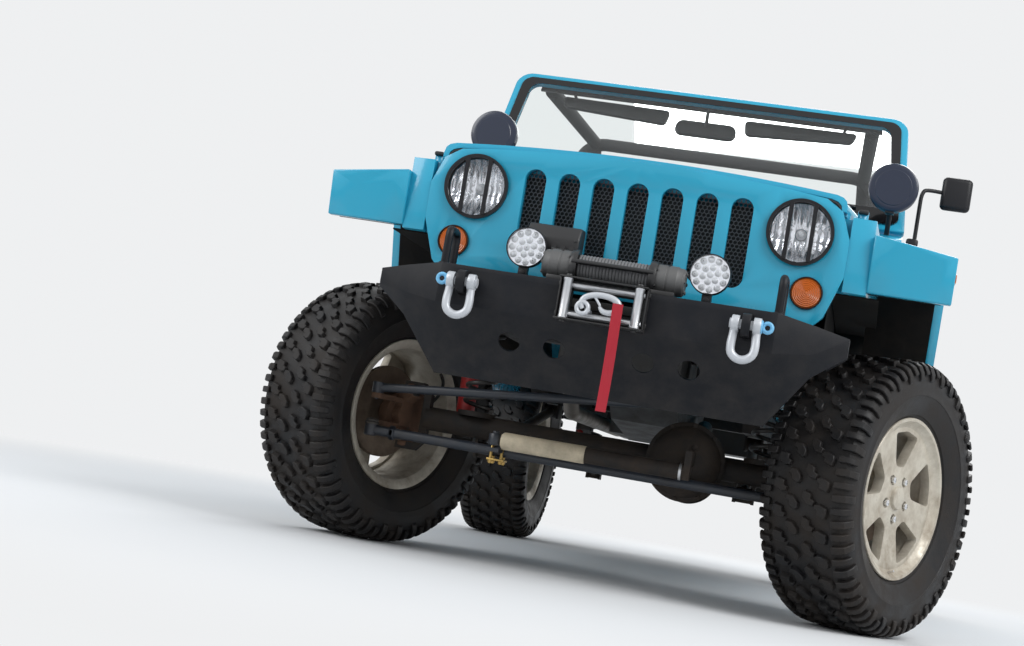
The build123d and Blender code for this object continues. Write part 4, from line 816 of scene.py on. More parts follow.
# %% Winch
ROPE_TURNS, ROPE_STEP, ROPE_RADIUS = 22, 9.4, 4.8
spool = at(0, -632, 792)
turns = []
for n in range(ROPE_TURNS):
    turns.append(turned("turn", [(-98.5 + n * ROPE_STEP + ROPE_RADIUS * cos(t * pi / 4),
                                  34 + ROPE_RADIUS * sin(t * pi / 4)) for t in range(8)], spool, ACROSS, 36))
finished("rope_turns", turns, "rope_grey", "chassis", 50)
blacks, greys = [], []
for side in (-1, 1):
    flange = ((104, 0), (104, 50), (108, 51), (116, 51), (124, 48), (124, 0))
    end = ((120, 0), (120, 42), (126, 44), (150, 44), (152, 42), (156, 42), (158, 44), (182, 44), (186, 41), (200, 40),
           (205, 34), (205, 0))
    blacks.append(turned("flange", [(side * a, b) for a, b in flange], spool, ACROSS))
    greys.append(turned("end", [(side * a, b) for a, b in end], spool, ACROSS))
    for n in range(6):
        turn = n * pi / 3
        spot = spool + Vector((side * 0.2045, 0.03 * cos(turn), 0.03 * sin(turn)))
        greys.append(bolt("bolt", spot, (side, 0, 0), 5.2, 4))
        spot = spool + Vector((side * 0.1235, 0.0455 * cos(turn + 0.5), 0.0455 * sin(turn + 0.5)))
        blacks.append(bolt("bolt", spot, (side, 0, 0), 4.5, 4))
    blacks.append(block("foot", (side * 110, side * 185), (-678, -586), (740, 758), 4))
for y in (-678, -588):
    blacks.append(bar("tie", at(-118, y, 804), at(118, y, 804), 7))
blacks.append(turned("drum", [(-110, 0), (-110, 31), (110, 31), (110, 0)], spool, ACROSS, 32))
box_side = [(-572, 838), (-572, 880), (-546, 916), (-486, 920), (-486, 838)]
blacks.append(bevelled(pushed("control", [at(-285, y, z) for y, z in box_side], (0.16, 0, 0)), 7, 3))
for x, z in ((-274, 850), (-136, 850), (-274, 874), (-136, 874)):
    blacks.append(bolt("screw", at(x, -572, z), FORWARD, 4, 2, 12))
for x in (-196, -170, -144):
    blacks.append(bar("socket", at(x, -580, 848), at(x, -545, 848), 8))
blacks.append(block("bracket", (-190, -140), (-640, -500), (831, 838)))
blacks.append(block("bracket", (-190, -140), (-640, -634), (822, 836)))
finished("winch_ends", greys, "cast_metal")
finished("winch_body", blacks, "winch_black", stands_for=["winch"])
print("winch done")

# %% [markdown]
# Hooks, hoops, hoses and arms are round bars that bend. A curve with a round bevel follows their middle line, its
# points say how thick it is at each place, and it is converted to a mesh at once.

# %% Swept bars
def swept(name, points, radius, sizes=None, sides=3, smooth=True):
    """A round bar along points, of a radius in mm, as thick at each as its size says."""
    curve = bpy.data.curves.new(name, "CURVE")
    curve.dimensions = "3D"
    curve.bevel_depth = radius / 1000
    curve.bevel_resolution = sides
    curve.use_fill_caps = True
    curve.resolution_u = 6
    spline = curve.splines.new("NURBS" if smooth else "POLY")
    spline.points.add(len(points) - 1)
    for n, (spot, point) in enumerate(zip(spline.points, points)):
        spot.co = (*point, 1)
        spot.radius = sizes[n] if sizes else 1.0
    if smooth:
        spline.order_u = 3
        spline.use_endpoint_u = True
    made = bpy.data.objects.new(name, curve)
    bpy.context.scene.collection.objects.link(made)
    chosen(made)
    bpy.ops.object.convert(target="MESH")
    return bpy.context.object


# %% [markdown]
# The fairlead leads the rope out through the bumper: four black plates round a window, and two upright and two
# lying rollers of bright steel with collars at their ends.

# %% Fairlead
plates, rollers = [], []
for x0, x1, z0, z1 in ((-125, 125, 720, 749), (-125, 125, 627, 656), (-125, -91, 656, 720), (91, 125, 656, 720)):
    plates.append(block("plate", (x0, x1), (-728, -720), (z0, z1), 0))
for z in (627, 745):
    plates.append(block("shelf", (-125, 125), (-782, -728), (z, z + 4), 1))
for x in (-125, 121):
    plates.append(block("cheek", (x, x + 4), (-762, -728), (631, 745), 1))
for x in (-101, 101):
    rollers.append(turned("roller", [(1, 0), (1, 14), (6, 14), (10, 12.6), (104, 12.6), (108, 14), (113, 14),
                                     (113, 0)], at(x, -766, 631), UPWARD, 32))
    for z, way in ((749, 1), (627, -1)):
        plates.append(bolt("pin", at(x, -766, z), UPWARD * way, 9, 6))
for z in (646, 730):
    rollers.append(turned("roller", [(5, 0), (5, 10.5), (237, 10.5), (237, 0)], at(-121, -741, z), ACROSS, 32))
    for x, way in ((-125, -1), (125, 1)):
        plates.append(bolt("pin", at(x, -741, z), ACROSS * way, 7, 5))
finished("fairlead_plates", plates, "winch_black", stands_for=["fairlead"])
finished("fairlead_rollers", rollers, "zinc_steel")
print("fairlead plates:", len(plates), "rollers:", len(rollers))

# %% [markdown]
# The hook is a round bar bent in a wide open curve, thinner towards its tip, with an eye for the rope and a spring
# latch across its mouth. Sizes along the line give the taper without a second shape.

# %% Hook
# x and height of the hook's middle line, and how thick it is at each place
hook_line = [(-44, 662), (-52, 676), (-44, 694), (-20, 704), (8, 706), (36, 702), (54, 690), (56, 674), (44, 662),
             (24, 659), (8, 664), (2, 674)]
hook_sizes = [0.8, 0.95, 1.0, 1.0, 1.0, 1.05, 1.1, 1.1, 1.05, 0.95, 0.8, 0.5]
hook = swept("hook", [at(x, -798, z) for x, z in hook_line], 8.5, hook_sizes, 4)
eye = turned("eye", [(9 * cos(t * pi / 5), 16 + 6.5 * sin(t * pi / 5)) for t in range(10)], at(-44, -798, 664),
             FORWARD, 32)
line_end = bar("line", at(-34, -791, 661.8), at(-34, -718, 661.8), 5)
latch = swept("latch", [at(-18, -798, 702), at(-6, -800, 690), at(4, -800, 676)], 3.5)
finished("rope_hook", [hook, eye, line_end, latch], "shackle_steel", "chassis", 50, ["winch_hook"])
print("hook points:", len(hook_line))

# %% [markdown]
# A red pull strap hangs from the hook. It is one layer of webbing, so a divided grid gets a slight sway and a curl
# across, and Solidify gives it its thickness.

# %% Pull strap
STRAP_WIDTH, STRAP_LENGTH, STRAP_FOOT, STRAP_THICK = 0.029, 0.298, 0.39 + BODY_LIFT, 0.0022
deselect()
bpy.ops.mesh.primitive_grid_add(x_subdivisions=6, y_subdivisions=60, size=1)
strap = bpy.context.object
strap.name = "red_strap"
for vertex in strap.data.vertices:
    u, v = vertex.co.x, vertex.co.y + 0.5
    sway = 0.0016 * sin(v * 5.2) - 0.0006
    vertex.co = (0.055 + u * STRAP_WIDTH + 0.0012 * sin(v * 4.0), at(0, -808, 0).y + sway + 0.0006 * cos(u * pi * 2),
                 STRAP_FOOT + STRAP_LENGTH * v)
chosen(strap)
cloth = strap.modifiers.new("thickness", "SOLIDIFY")
cloth.thickness = STRAP_THICK
cloth.offset = 0
bpy.ops.object.modifier_apply(modifier=cloth.name)
done(strap, "strap_red", "chassis", 60, ["pull_strap"])
print("strap length", STRAP_LENGTH)

# %% [markdown]
# Bow shackles are round bars bent into a bow, with an ear at each end round the pin. The pin is light blue and has
# a flat eye outboard, by which it is screwed in. Ears, collar and eye are turned, and the bow is swept.

# %% Shackles and their pins
SHACKLE_X, PIN_Y, PIN_Z = 403, -760, 690
BOW = ((-30, -760, 700), (-31, -762, 660), (-34, -766, 632), (-30, -768, 604), (0, -768, 589), (30, -768, 604),
       (34, -766, 632), (31, -762, 660), (30, -760, 700))
pins, bows = [], []
for side in (-1, 1):
    x = side * SHACKLE_X
    pins.append(turned("eye", [(6.2 * cos(t * pi / 4), 12.5 + 5.6 * sin(t * pi / 4)) for t in range(8)],
                       at(x + side * 58, PIN_Y, PIN_Z), FORWARD, 32))
    pins.append(turned("collar", [(-4, 0), (-4, 19), (8, 19), (10, 17), (10, 0)], at(x + side * 35, PIN_Y, PIN_Z),
                       (side, 0, 0), 32))
    bows.append(swept("bow", [at(x + a, y, z) for a, y, z in BOW], 11.8, None, 5))
    for a in (-30, 30):
        bows.append(turned("ear", [(-10.5, 0), (-10.5, 22.5), (-9, 23.5), (9, 23.5), (10.5, 22.5), (10.5, 0)],
                           at(x + a, PIN_Y, PIN_Z), ACROSS, 28))
    bows.append(bar("pin", at(x - side * 46, PIN_Y, PIN_Z), at(x + side * 42, PIN_Y, PIN_Z), 13.5, 28))
finished("shackle_pins", pins, "pin_blue", "chassis", 50)
finished("bow_shackles", bows, "shackle_steel", "chassis", 45, ["shackles"])
print("shackles at", SHACKLE_X, PIN_Y, PIN_Z)

# %% [markdown]
# Coil springs are a small circle swept up a helix by the Screw modifier. Their ends rest on the axle pads and
# under the rails, where the solids have plain sleeves.

# %% Coil springs
SPRING_X, PAD_Z, WIRE_RADIUS, COIL_RADIUS, COIL_TURNS = 465, 0.465, 0.0075, 0.0455, 6.5
coils = []
for side in (-1, 1):
    for y, top in ((0, 690), (2424, 660)):
        deselect()
        bpy.ops.mesh.primitive_circle_add(vertices=12, radius=WIRE_RADIUS, rotation=(pi / 2, 0, 0))
        wire = bpy.context.object
        bpy.ops.object.transform_apply(location=True, rotation=True, scale=True)
        wire.data.transform(Matrix.Translation((COIL_RADIUS, 0, 0)))
        coil = wire.modifiers.new("coil", "SCREW")
        coil.angle = 2 * pi * COIL_TURNS
        coil.screw_offset = top / 1000 + BODY_LIFT - PAD_Z - 0.016
        coil.steps = coil.render_steps = 130
        coil.use_merge_vertices = False
        bpy.ops.object.modifier_apply(modifier=coil.name)
        edit(wire)
        bpy.ops.mesh.select_all(action="DESELECT")
        bpy.ops.mesh.select_mode(type="EDGE")
        bpy.ops.mesh.select_non_manifold()
        bpy.ops.mesh.edge_face_add()
        bpy.ops.mesh.select_mode(type="VERT")
        leave_outwards()
        foot = at(side * SPRING_X, y, 0)
        wire.data.transform(Matrix.Translation((foot.x, foot.y, PAD_Z + 0.008)))
        coils.append(wire)
springs = finished("spring_coils", coils, "spring_black", "chassis", 50, ["coil_springs"])

# %% [markdown]
# The front bumper is a folded steel shell, open behind. Its sections change from the wings to the middle, so
# five-sided rings are bridged from one to the next, and both ends are capped.

# %% Bumper sections
# x, then y of the face, height of the top and of the fold, and y and height of the foot
SECTIONS = ((680, -622, 708, 668, -616, 655), (588, -668, 724, 645, -640, 583), (480, -720, 740, 626, -590, 432))
BACK_Y, HOOP_X = -560, 480


def lofted(name, rings):
    """Closed rings of as many points each, bridged one after another and capped at both ends."""
    count = len(rings[0])
    made = joined(name, [outline(name, ring, filled=False) for ring in rings])
    for n in range(len(rings) - 1):
        chosen(made)
        for part in (*made.data.polygons, *made.data.vertices):
            part.select = False
        for edge in made.data.edges:
            edge.select = all(n * count <= v < (n + 2) * count for v in edge.vertices)
        bpy.ops.object.mode_set(mode="EDIT")
        bpy.ops.mesh.select_mode(type="EDGE")
        bpy.ops.mesh.bridge_edge_loops()
        leave()
    edit(made)
    bpy.ops.mesh.select_mode(type="VERT")
    bpy.ops.mesh.select_all(action="DESELECT")
    bpy.ops.mesh.select_non_manifold()
    bpy.ops.mesh.edge_face_add()
    leave_outwards()
    return made


def shell(name, inset, past, shorter):
    """Bridged sections, all in by the inset, and past the open back and foot by a little."""
    rings = []
    stations = [(-x, *rest) for x, *rest in SECTIONS] + [(x, *rest) for x, *rest in reversed(SECTIONS)]
    for n, (x, face, top, fold, foot_y, foot) in enumerate(stations):
        cut = shorter if n in (0, 5) else 0
        x = x - cut if x > 0 else x + cut
        rings.append([at(x, face + inset, top - inset), at(x, face + inset, fold + inset / 4),
                      at(x, foot_y + inset, foot - past), at(x, BACK_Y + past, foot - past),
                      at(x, BACK_Y + past, top - inset)])
    return lofted(name, rings)


# %% [markdown]
# A smaller copy is cut out of the back, which leaves the sheet's thickness. Round holes then go through the leaning
# skid plate, a window behind the fairlead lets the rope out, and slots take the shackle tabs.

# %% Bumper
bumper = shell("bumper", 0, 0, 0)
boolean(bumper, shell("hollow", 8, 3, 8))
fall = Vector((0, 130, -194))
through = ACROSS.cross(fall.normalized()) * 0.03
holes = []
for x in (-259, -128, 128, 259):
    spot = at(x, -720 + fall.y * 0.4, 626 + fall.z * 0.4)
    holes.append(bar("hole", spot - through, spot + through, 31, 40))
holes.append(block("window", (-91, 91), (-730, -705), (656, 720), 0))
for x in (-SHACKLE_X, SHACKLE_X):
    holes.append(block("slot", (x - 13, x + 13), (-722, -700), (657, 723), 0))
boolean(bumper, joined("holes", holes))
smoothed(bumper, 0.5)
bevelled(bumper, 2.8, 3, 25)
print("bumper faces:", len(bumper.data.polygons))

# %% [markdown]
# Tabs with a hole carry the shackles, hoops of round bar stand on the top with a weld round each foot, and gussets
# with bolts tie the bumper to the rails. All are joined to it, since they are welded or bolted on for good.

# %% Fittings on the bumper
fittings = []
for side in (-1, 1):
    x = side * SHACKLE_X - 12
    bend = [(PIN_Y - 32 * sin(t * pi / 8), PIN_Z + 32 * cos(t * pi / 8)) for t in range(9)]
    rim = [(-700, 722), *bend, (-700, 658)]
    tab = pushed("tab", [at(x, y, z) for y, z in rim], (0.024, 0, 0))
    boolean(tab, bar("eye", at(x - 20, PIN_Y, PIN_Z), at(x + 44, PIN_Y, PIN_Z), 14.5, 28))
    fittings.append(bevelled(tab, 1.5, 2))
    hoop = ((-690, 734), (-690, 790), (-690, 842), (-645, 842), (-600, 842), (-600, 790), (-600, 734))
    fittings.append(swept("hoop", [at(side * HOOP_X, y, z) for y, z in hoop], 12, None, 4))
    for y in (-690, -600):
        fittings.append(turned("weld", [(-2, 0), (-2, 17.5), (2, 16.8), (6, 11.5), (6, 0)],
                               at(side * HOOP_X, y, 740), UPWARD, 24))
    for x in (side * 440 - 30, side * 440 + 22):
        fittings.append(block("gusset", (x, x + 8), (-700, -566), (600, 731), 1.5))
    for x, z in ((426, 650), (426, 712), (454, 650), (454, 712)):
        fittings.append(bolt("bolt", at(side * x, -562, z), FORWARD, 9, 8))
finished("folded_bumper", [bumper] + fittings, "bumper_black", "chassis", 30, ["front_bumper"])

# %% [markdown]
# The windshield leans back. Its glass gives a frame of its own, across, up the slope and outwards, and outlines
# with rounded corners are drawn on it and extruded along its outward direction.

# %% Places on the glass
GLASS_FOOT, GLASS_HEAD = Vector((0, 750, 1247)), Vector((0, 920, 1690))
rise = (GLASS_HEAD - GLASS_FOOT).normalized()
outward = Vector((0, -rise.z, rise.y))
SLANT = (GLASS_HEAD - GLASS_FOOT).length


def on_glass(x, up_by, out=0.0):
    """A place on the glass, in mm from its foot, some mm outside it."""
    spot = GLASS_FOOT + rise * up_by + outward * out
    return at(x, spot.y, spot.z)


def rounded(corners, radii, steps=6):
    """A flat outline with each corner turned into an arc."""
    points = []
    for n, (corner, radius) in enumerate(zip(corners, radii)):
        before, here, after = Vector(corners[n - 1]), Vector(corner), Vector(corners[(n + 1) % len(corners)])
        a, b = (before - here).normalized(), (after - here).normalized()
        half = a.angle(b) / 2
        reach, middle = radius * cos(half) / sin(half), here + (a + b).normalized() * radius / sin(half)
        start, end = here + a * reach, here + b * reach
        for t in range(steps + 1):
            spot = start.lerp(end, t / steps) - middle
            points.append(tuple(middle + spot.normalized() * radius))
    return points


def pane(name, inset_side, inset_foot, inset_head, radii, low, thick):
    """A plate along the glass, in from the frame's outline, from some mm outside the glass on outwards."""
    corners = [(-780 + inset_side, inset_foot), (780 - inset_side, inset_foot),
               (735 - inset_side, SLANT - inset_head), (-735 + inset_side, SLANT - inset_head)]
    flat = rounded(corners, radii)
    return pushed(name, [on_glass(x, v, low) for x, v in flat], outward * thick / 1000)


# %% [markdown]
# The frame is a ring of painted sheet with rounded corners, cut open by a boolean. Its glass lies on the outside
# with a black band round its rim, so only a thin line of paint is left to see.

# %% Frame and glass
frame_rim = pane("frame_rim", 0, 0, 0, (6, 6, 62, 62), -17, 33.5)
boolean(frame_rim, pane("opening", 56, 52, 40, (36, 36, 40, 40), -40, 80))
smoothed(frame_rim, 0.5, 0)
done(bevelled(frame_rim, 5, 3, 40), "body_paint", "chassis", 32, ["windshield_frame"])
glass_pane = pane("glass_pane", 24, 22, 20, (30, 30, 44, 44), 16.8, 4.6)
done(bevelled(glass_pane, 0.6, 1), "glass", "chassis", 30, ["windshield_glass"])
frit = pane("frit", 25, 23, 21, (29, 29, 43, 43), 21.5, 0.5)
boolean(frit, pane("clear", 60, 84, 46, (40, 40, 42, 42), 10, 30))
done(frit, "frit_black", "chassis")
print("glass height along the slope:", round(SLANT), "mm")

# %% [markdown]
# Inside lie the header, two sun visors and the mirror on its stem. They are dark plates with well rounded edges,
# and the mirror's face is a thin plate of its own, because it has another finish.

# %% Header, visors and inside mirror
inside = []
band = [(-648, SLANT - 50), (648, SLANT - 50), (640, SLANT - 10), (-640, SLANT - 10)]
inside.append(bevelled(pushed("header", [on_glass(x, v, -18) for x, v in band], -outward * 0.014), 3, 2))
for side in (-1, 1):
    flat = rounded([(side * 150, SLANT - 122), (side * 545, SLANT - 100), (side * 560, SLANT - 52),
                    (side * 140, SLANT - 56)], (20, 24, 12, 16))
    inside.append(bevelled(pushed("visor", [on_glass(x, v, -36) for x, v in flat], -outward * 0.016), 5, 3))
    inside.append(bar("arm", on_glass(side * 520, SLANT - 30, -22), on_glass(side * 505, SLANT - 62, -42), 6))
inside.append(bar("stem", on_glass(0, SLANT - 40, -20), on_glass(0, SLANT - 100, -52), 7))
flat = rounded([(-118, SLANT - 142), (118, SLANT - 142), (112, SLANT - 76), (-112, SLANT - 76)], (26, 26, 30, 30))
inside.append(bevelled(pushed("mirror_back", [on_glass(x, v, -50) for x, v in flat], -outward * 0.022), 8, 3))
finished("header_pieces", inside, "trim_black")
print("header pieces:", len(inside))
flat = rounded([(-110, SLANT - 136), (110, SLANT - 136), (105, SLANT - 82), (-105, SLANT - 82)], (22, 22, 26, 26))
done(pushed("inside_mirror", [on_glass(x, v, -71.6) for x, v in flat], -outward * 0.001), "mirror_face", "chassis")

# %% [markdown]
# Two wipers lie along the foot of the glass: a pivot, a thin arm and a rubber blade each. Thin bars do for them,
# and their places on the glass keep them parallel to it.

# %% Wipers
WIPER_V = 70
wipers = []
for x0, x1, foot_x in ((150, 600, 600), (-560, -90, -90)):
    foot = on_glass(foot_x, 8, 20)
    middle_x = (x0 + x1) / 2
    middle, elbow = on_glass(middle_x, WIPER_V + 6, 36), Vector((0, -0.012, 0.008))
    wipers.append(turned("pivot", [(0, 0), (0, 14), (12, 13), (18, 8), (18, 0)], foot, (0, -0.93, 0.36), 24))
    wipers.append(swept("arm", [foot + elbow, foot.lerp(middle, 0.25) + elbow, middle], 4.5, [1.3, 1.1, 0.7]))
    wipers.append(bar("blade", on_glass(x0, WIPER_V, 30), on_glass(x1, WIPER_V, 30), 3.5, 8))
    wipers.append(bar("rubber", on_glass(x0, WIPER_V, 25), on_glass(x1, WIPER_V, 25), 2.8, 8))
    for t in (0.2, 0.8):
        x = x0 + (x1 - x0) * t
        wipers.append(bar("claw", on_glass(x, WIPER_V, 30), on_glass((x + middle_x) / 2, WIPER_V + 3, 35), 3, 8))
finished("wipers", wipers, "trim_black", "chassis", 40)
print("wiper parts:", len(wipers))

# %% [markdown]
# The hood ends in front in a turned-down lip that follows its arched line, and a black rubber seal closes the gap to
# the grille; its black also paints the shade in that gap. One function gives that line at any length, so lip and seal
# fit each other.

# %% Hood lip, and seal with painted gap shade
def hood_line(y, half, crown, drop=0.0):
    """Points of the hood's outline across, at one length."""
    shoulder = crown - 62
    edge = [(half, 1092), (half, shoulder), (half - 5, shoulder + 20), (half - 16, shoulder + 30),
            (half - 36, shoulder + 36)]
    top = [((half - 60) * (1 - t / 8), shoulder + 38 + 24 * (1 - (1 - t / 8) ** 2)) for t in range(9)]
    right = edge + top
    return [at(x, y, z - drop) for x, z in right] + [at(-x, y, z - drop) for x, z in reversed(right[:-1])]


lip = hood_line(-431, 611, 1166) + list(reversed(hood_line(-431, 597, 1151, -1.0)))
done(bevelled(pushed("hood_lip", lip, (0, 0.04, 0)), 3, 3, 40), "body_paint", "hood", 32)
# The seal's black bead also paints the shade in the gap between the hood and the grille.
done(swept("hood_seal_and_gap_shade", hood_line(-428, 594, 1147), 4.2, None, 3, False), "rubber_black", "chassis", 60)
print("hood lip points:", len(lip))

# %% [markdown]
# Dark liners close the wheel wells towards the body, as moulded plastic ones do, and their near-black also paints the
# shade that falls inside the wells and under the flares. They are thin plates and an arch that is bridged between two
# outlines, because little more than their shadow is seen.

# %% Wheel liners, near-black for the painted shade in the wells
liners_and_shade = []
for side in (-1, 1):
    liners_and_shade.append(block("splash", (side * 420, side * 764), (634, 637), (600, 1030), 1, 1))
    liners_and_shade.append(block("inner", (side * 596, side * 598), (-380, 634), (700, 872), 0))
    liners_and_shade.append(block("roof", (side * 602, side * 738), (-392, 634), (855, 859), 0))
    rings = []
    for x, drop in ((704, 1006), (912, 976)):
        shape = [(-398, 868), (-416, drop - 6), (278, drop - 6), (464, 560), (460, 560), (275, drop - 10),
                 (-412, drop - 10), (-394, 868)]
        rings.append([at(side * x, y, z) for y, z in shape])
    liners_and_shade.append(lofted("arch", rings))
# The liners' near-black is partly painted shade: it darkens the wells and the inside of the flares as their shade
# would.
finished("wheel_liners_and_shade", liners_and_shade, "liner_and_shade_black", "chassis", 30)
print("liner parts:", len(liners_and_shade))

# %% [markdown]
# Each hood latch is a rubber strap with a T handle, which stands on the fender beside the hood. It rides on the
# chassis, so the hood opens past it. Three rounded bodies are enough at its size.

# %% Hood latches
for side, name in ((-1, "latch_right"), (1, "latch_left")):
    x = side * 655
    latch = [bolt("foot", at(x, -300, 1079), UPWARD, 15, 10, 24),
             block("strap", (x - 9, x + 9), (-309, -291), (1084, 1118), 4, 3),
             block("handle", (x - 15, x + 15), (-326, -274), (1112, 1126), 6, 3)]
    finished(name, latch, "rubber_black", "chassis", 40)
print("latch parts:", len(latch))

# %% [markdown]
# The steering ends carry the rough castings that show inside the front wheels: calipers over the discs, hub
# carriers and ball-joint caps. They are modelled round the wheel's centre and turned with the knuckle, so that
# every number in them is a plain distance from the axle. A slot for the disc is cut through each caliper.

# %% Castings on the knuckles
DISC_X = 0.125


def arc(radius, start, step, count):
    """Points on a circle round the axle, as y and height."""
    return [(radius * cos(radians(start + step * t)), radius * sin(radians(start + step * t))) for t in range(count)]


for side, body in ((1, "knuckle_left"), (-1, "knuckle_right")):
    inboard, outboard = ACROSS * -side, ACROSS * side
    x0 = side * (DISC_X - 0.014) - 0.03
    caliper = pushed("caliper", [(x0, y, z) for y, z in arc(0.172, -36, 6, 13) + arc(0.098, 30, -6, 11)], (0.06, 0, 0))
    boolean(caliper, turned("slot", [(-15.5, 0), (-15.5, 156), (15.5, 156), (15.5, 0)], outboard * (DISC_X - 0.013),
                            ACROSS, 56))
    castings = [bevelled(caliper, 4, 2, 30)]
    for z in (-0.03, 0.03):
        castings.append(turned("piston", [(0, 0), (0, 24), (22, 22), (26, 18), (26, 0)],
                               (side * (DISC_X - 0.04), 0.132, z), inboard, 28))
    for z in (-0.068, 0.068):
        castings.append(bar("slide", (side * (DISC_X - 0.075), 0.108, z), (side * (DISC_X - 0.02), 0.108, z), 8, 16))
    bracket = [(0.028, -0.062), (0.075, -0.08), (0.118, -0.07), (0.118, 0.07), (0.075, 0.08), (0.028, 0.062)]
    bracket = pushed("bracket", [(side * 0.052 - 0.007, y, z) for y, z in bracket], (0.014, 0, 0))
    castings.append(bevelled(bracket, 4, 2))
    castings.append(turned("hub_carrier", [(40, 0), (40, 62), (52, 66), (74, 60), (82, 50), (82, 0)], (0, 0, 0),
                           outboard, 40))
    for y, z in arc(0.054, 45, 90, 4):
        castings.append(bolt("bolt", (side * 0.04, y, z), inboard, 8, 8))
    for way in (1, -1):
        castings.append(turned("cap", [(0, 0), (0, 26), (12, 26), (20, 18), (22, 0)], UPWARD * way * 0.086,
                               UPWARD * way, 28))
    hoses = [swept("hose", [(side * (DISC_X - 0.05), 0.15, 0.03), (side * 0.045, 0.175, 0.07), (0, 0.15, 0.13),
                            (side * -0.015, 0.105, 0.15)], 5.5),
             turned("boot", [(0, 0), (0, 24), (6, 27), (10, 21), (14, 23), (18, 15), (18, 0)],
                    (0, 0, 0.064), UPWARD, 28)]
    place = Matrix.Translation((side * 0.69, FRONT_AXLE_Y, AXLE_Z)) @ Matrix.Rotation(-STEER, 4, "Z")
    for name, pieces, finish, smooth in (("castings_", castings, "rusty_iron", 35),
                                         ("hoses_", hoses, "rubber_black", 50)):
        pattern = joined("pattern", pieces)
        done(copied(pattern, place, name + body), finish, body, smooth)
        bpy.data.objects.remove(pattern)
print("castings done")

# %% [markdown]
# The rods in front of the axle have rubber boots and lock nuts on their ends. Two gold U-bolts clamp the bracket of
# the steering damper, whose cream dust tube slides over a dark barrel. The tube rides on the damper's rod and its
# bands on the chassis, so the damper can still change its length.

# %% Rods and damper
TIE_Y, TIE_Z, DAMPER_Y, DAMPER_Z = -1.4193, 0.351, -1.493, 0.385
CLAMP_RADIUS, CLAMP_FOOT = 0.0205, TIE_Z - 0.03
boots, ends, golds = [], [], []
for x, way in ((-0.765, 1), (0.615, -1)):
    boots.append(turned("boot", [(0, 0), (0, 21), (6, 23.5), (10, 19), (15, 21), (20, 13), (20, 0)],
                        (x, TIE_Y, TIE_Z + 0.017), UPWARD, 28))
    ends.append(turned("socket", [(-19.5, 0), (-19.5, 16), (-17, 20.5), (17, 20.5), (17, 0)], (x, TIE_Y, TIE_Z),
                       UPWARD, 28))
    for n in range(3):
        ends.append(bolt("nut", (x + way * (0.062 + 0.001 * n), TIE_Y, TIE_Z), ACROSS * way, 23.5, 16))
finished("tie_rod_boots", boots, "rubber_black", "tie_rod", 50)
for x in (-0.362, -0.328):
    bend = [(x, TIE_Y + y, TIE_Z + z) for y, z in arc(CLAMP_RADIUS, 0, 22.5, 9)]
    line = [(x, TIE_Y + CLAMP_RADIUS, TIE_Z - 0.04), *bend, (x, TIE_Y - CLAMP_RADIUS, TIE_Z - 0.04)]
    golds.append(swept("u_bolt", line, 4.8))
    for y in (TIE_Y + CLAMP_RADIUS, TIE_Y - CLAMP_RADIUS):
        golds.append(bolt("nut", (x, y, CLAMP_FOOT), -UPWARD, 8, 7))
golds.append(slab("saddle", (-0.372, TIE_Y - 0.032, CLAMP_FOOT), (-0.318, TIE_Y + 0.032, CLAMP_FOOT + 0.006), 1))
finished("clamp_bolts", golds, "gold_zinc", "tie_rod", 40)
finished("tie_rod_ends", ends, "rod_steel", "tie_rod", 40)
tube = turned("tube", [(0, 9.5), (0, 20), (6, 26.2), (12, 27.4), (262, 27.4), (266, 26.8), (266, 26.2), (10, 26.2)],
              (-0.325, DAMPER_Y, DAMPER_Z), ACROSS, 40)
done(tube, "stabilizer_cream", "stabilizer_rod", 40)
eye = [turned("eye", [(-18, 0), (-18, 19), (-16, 20.5), (16, 20.5), (18, 19), (18, 0)],
              (-0.345, DAMPER_Y, DAMPER_Z), UPWARD, 32),
       bolt("eye_bolt", (-0.345, DAMPER_Y, DAMPER_Z + 0.017), UPWARD, 11.5, 9)]
finished("damper_eye", eye, "rod_steel", "stabilizer_rod", 40)
bands = [turned("band", [(-4, 24.5), (-4, 26.2), (4, 26.2), (4, 24.5)], (x, DAMPER_Y, DAMPER_Z), ACROSS, 36)
         for x in (-0.096, 0.236)]
finished("damper_bands", bands, "zinc_steel", "chassis", 40)

# %% [markdown]
# A pressed cover with a flange and a ring of bolts closes each differential. It is round, so one turned profile
# serves both axles, a little larger behind.

# %% Differential covers
BOLTS = 10
covers = []
for x, y, way, size in ((0.23, FRONT_AXLE_Y, -1, 1.0), (0.0, REAR_AXLE_Y, 1, 1.08)):
    centre, out = Vector((x, y, AXLE_Z)), BACKWARD * way
    shape = [(46, 0), (46, 124), (60, 125), (63, 122), (66, 112), (92, 98), (110, 66), (117, 30), (118, 0)]
    covers.append(turned("cover", [(a, b * size) for a, b in shape], centre, out, 56))
    for n in range(BOLTS):
        turn = n * 2 * pi / BOLTS + 0.2
        spot = centre + Vector((cos(turn), 0, sin(turn))) * 0.1175 * size + out * 0.062
        covers.append(bolt("bolt", spot, out, 7.5, 7))
    covers.append(bolt("plug", centre + Vector((0.03, way * 0.112, 0.05)), out, 11, 8))
finished("diff_covers", covers, "axle_black")
print("axle details done")

# %% [markdown]
# The outside mirror is a deep rounded housing on a bent arm, with its glass facing back. Only the left one is
# there. A box with a wide bevel gives the housing, and a swept bar the arm.

# %% Outside mirror
arm = [at(818, 720, 1232), at(818, 720, 1330), at(818, 722, 1408), at(845, 735, 1418), at(892, 747, 1416)]
mirror = [block("housing", (885, 989), (728, 766), (1355, 1474), 17, 5),
          swept("arm", arm, 7.2, None, 4),
          block("base", (790, 832), (696, 744), (1190, 1232), 10, 3)]
finished("mirror_housing", mirror, "trim_black", "chassis", 40, ["mirror_left"])
done(block("outside_mirror", (894, 980), (765.5, 767.2), (1364, 1465), 0.6, 1), "mirror_face", "chassis")
print("mirror done")

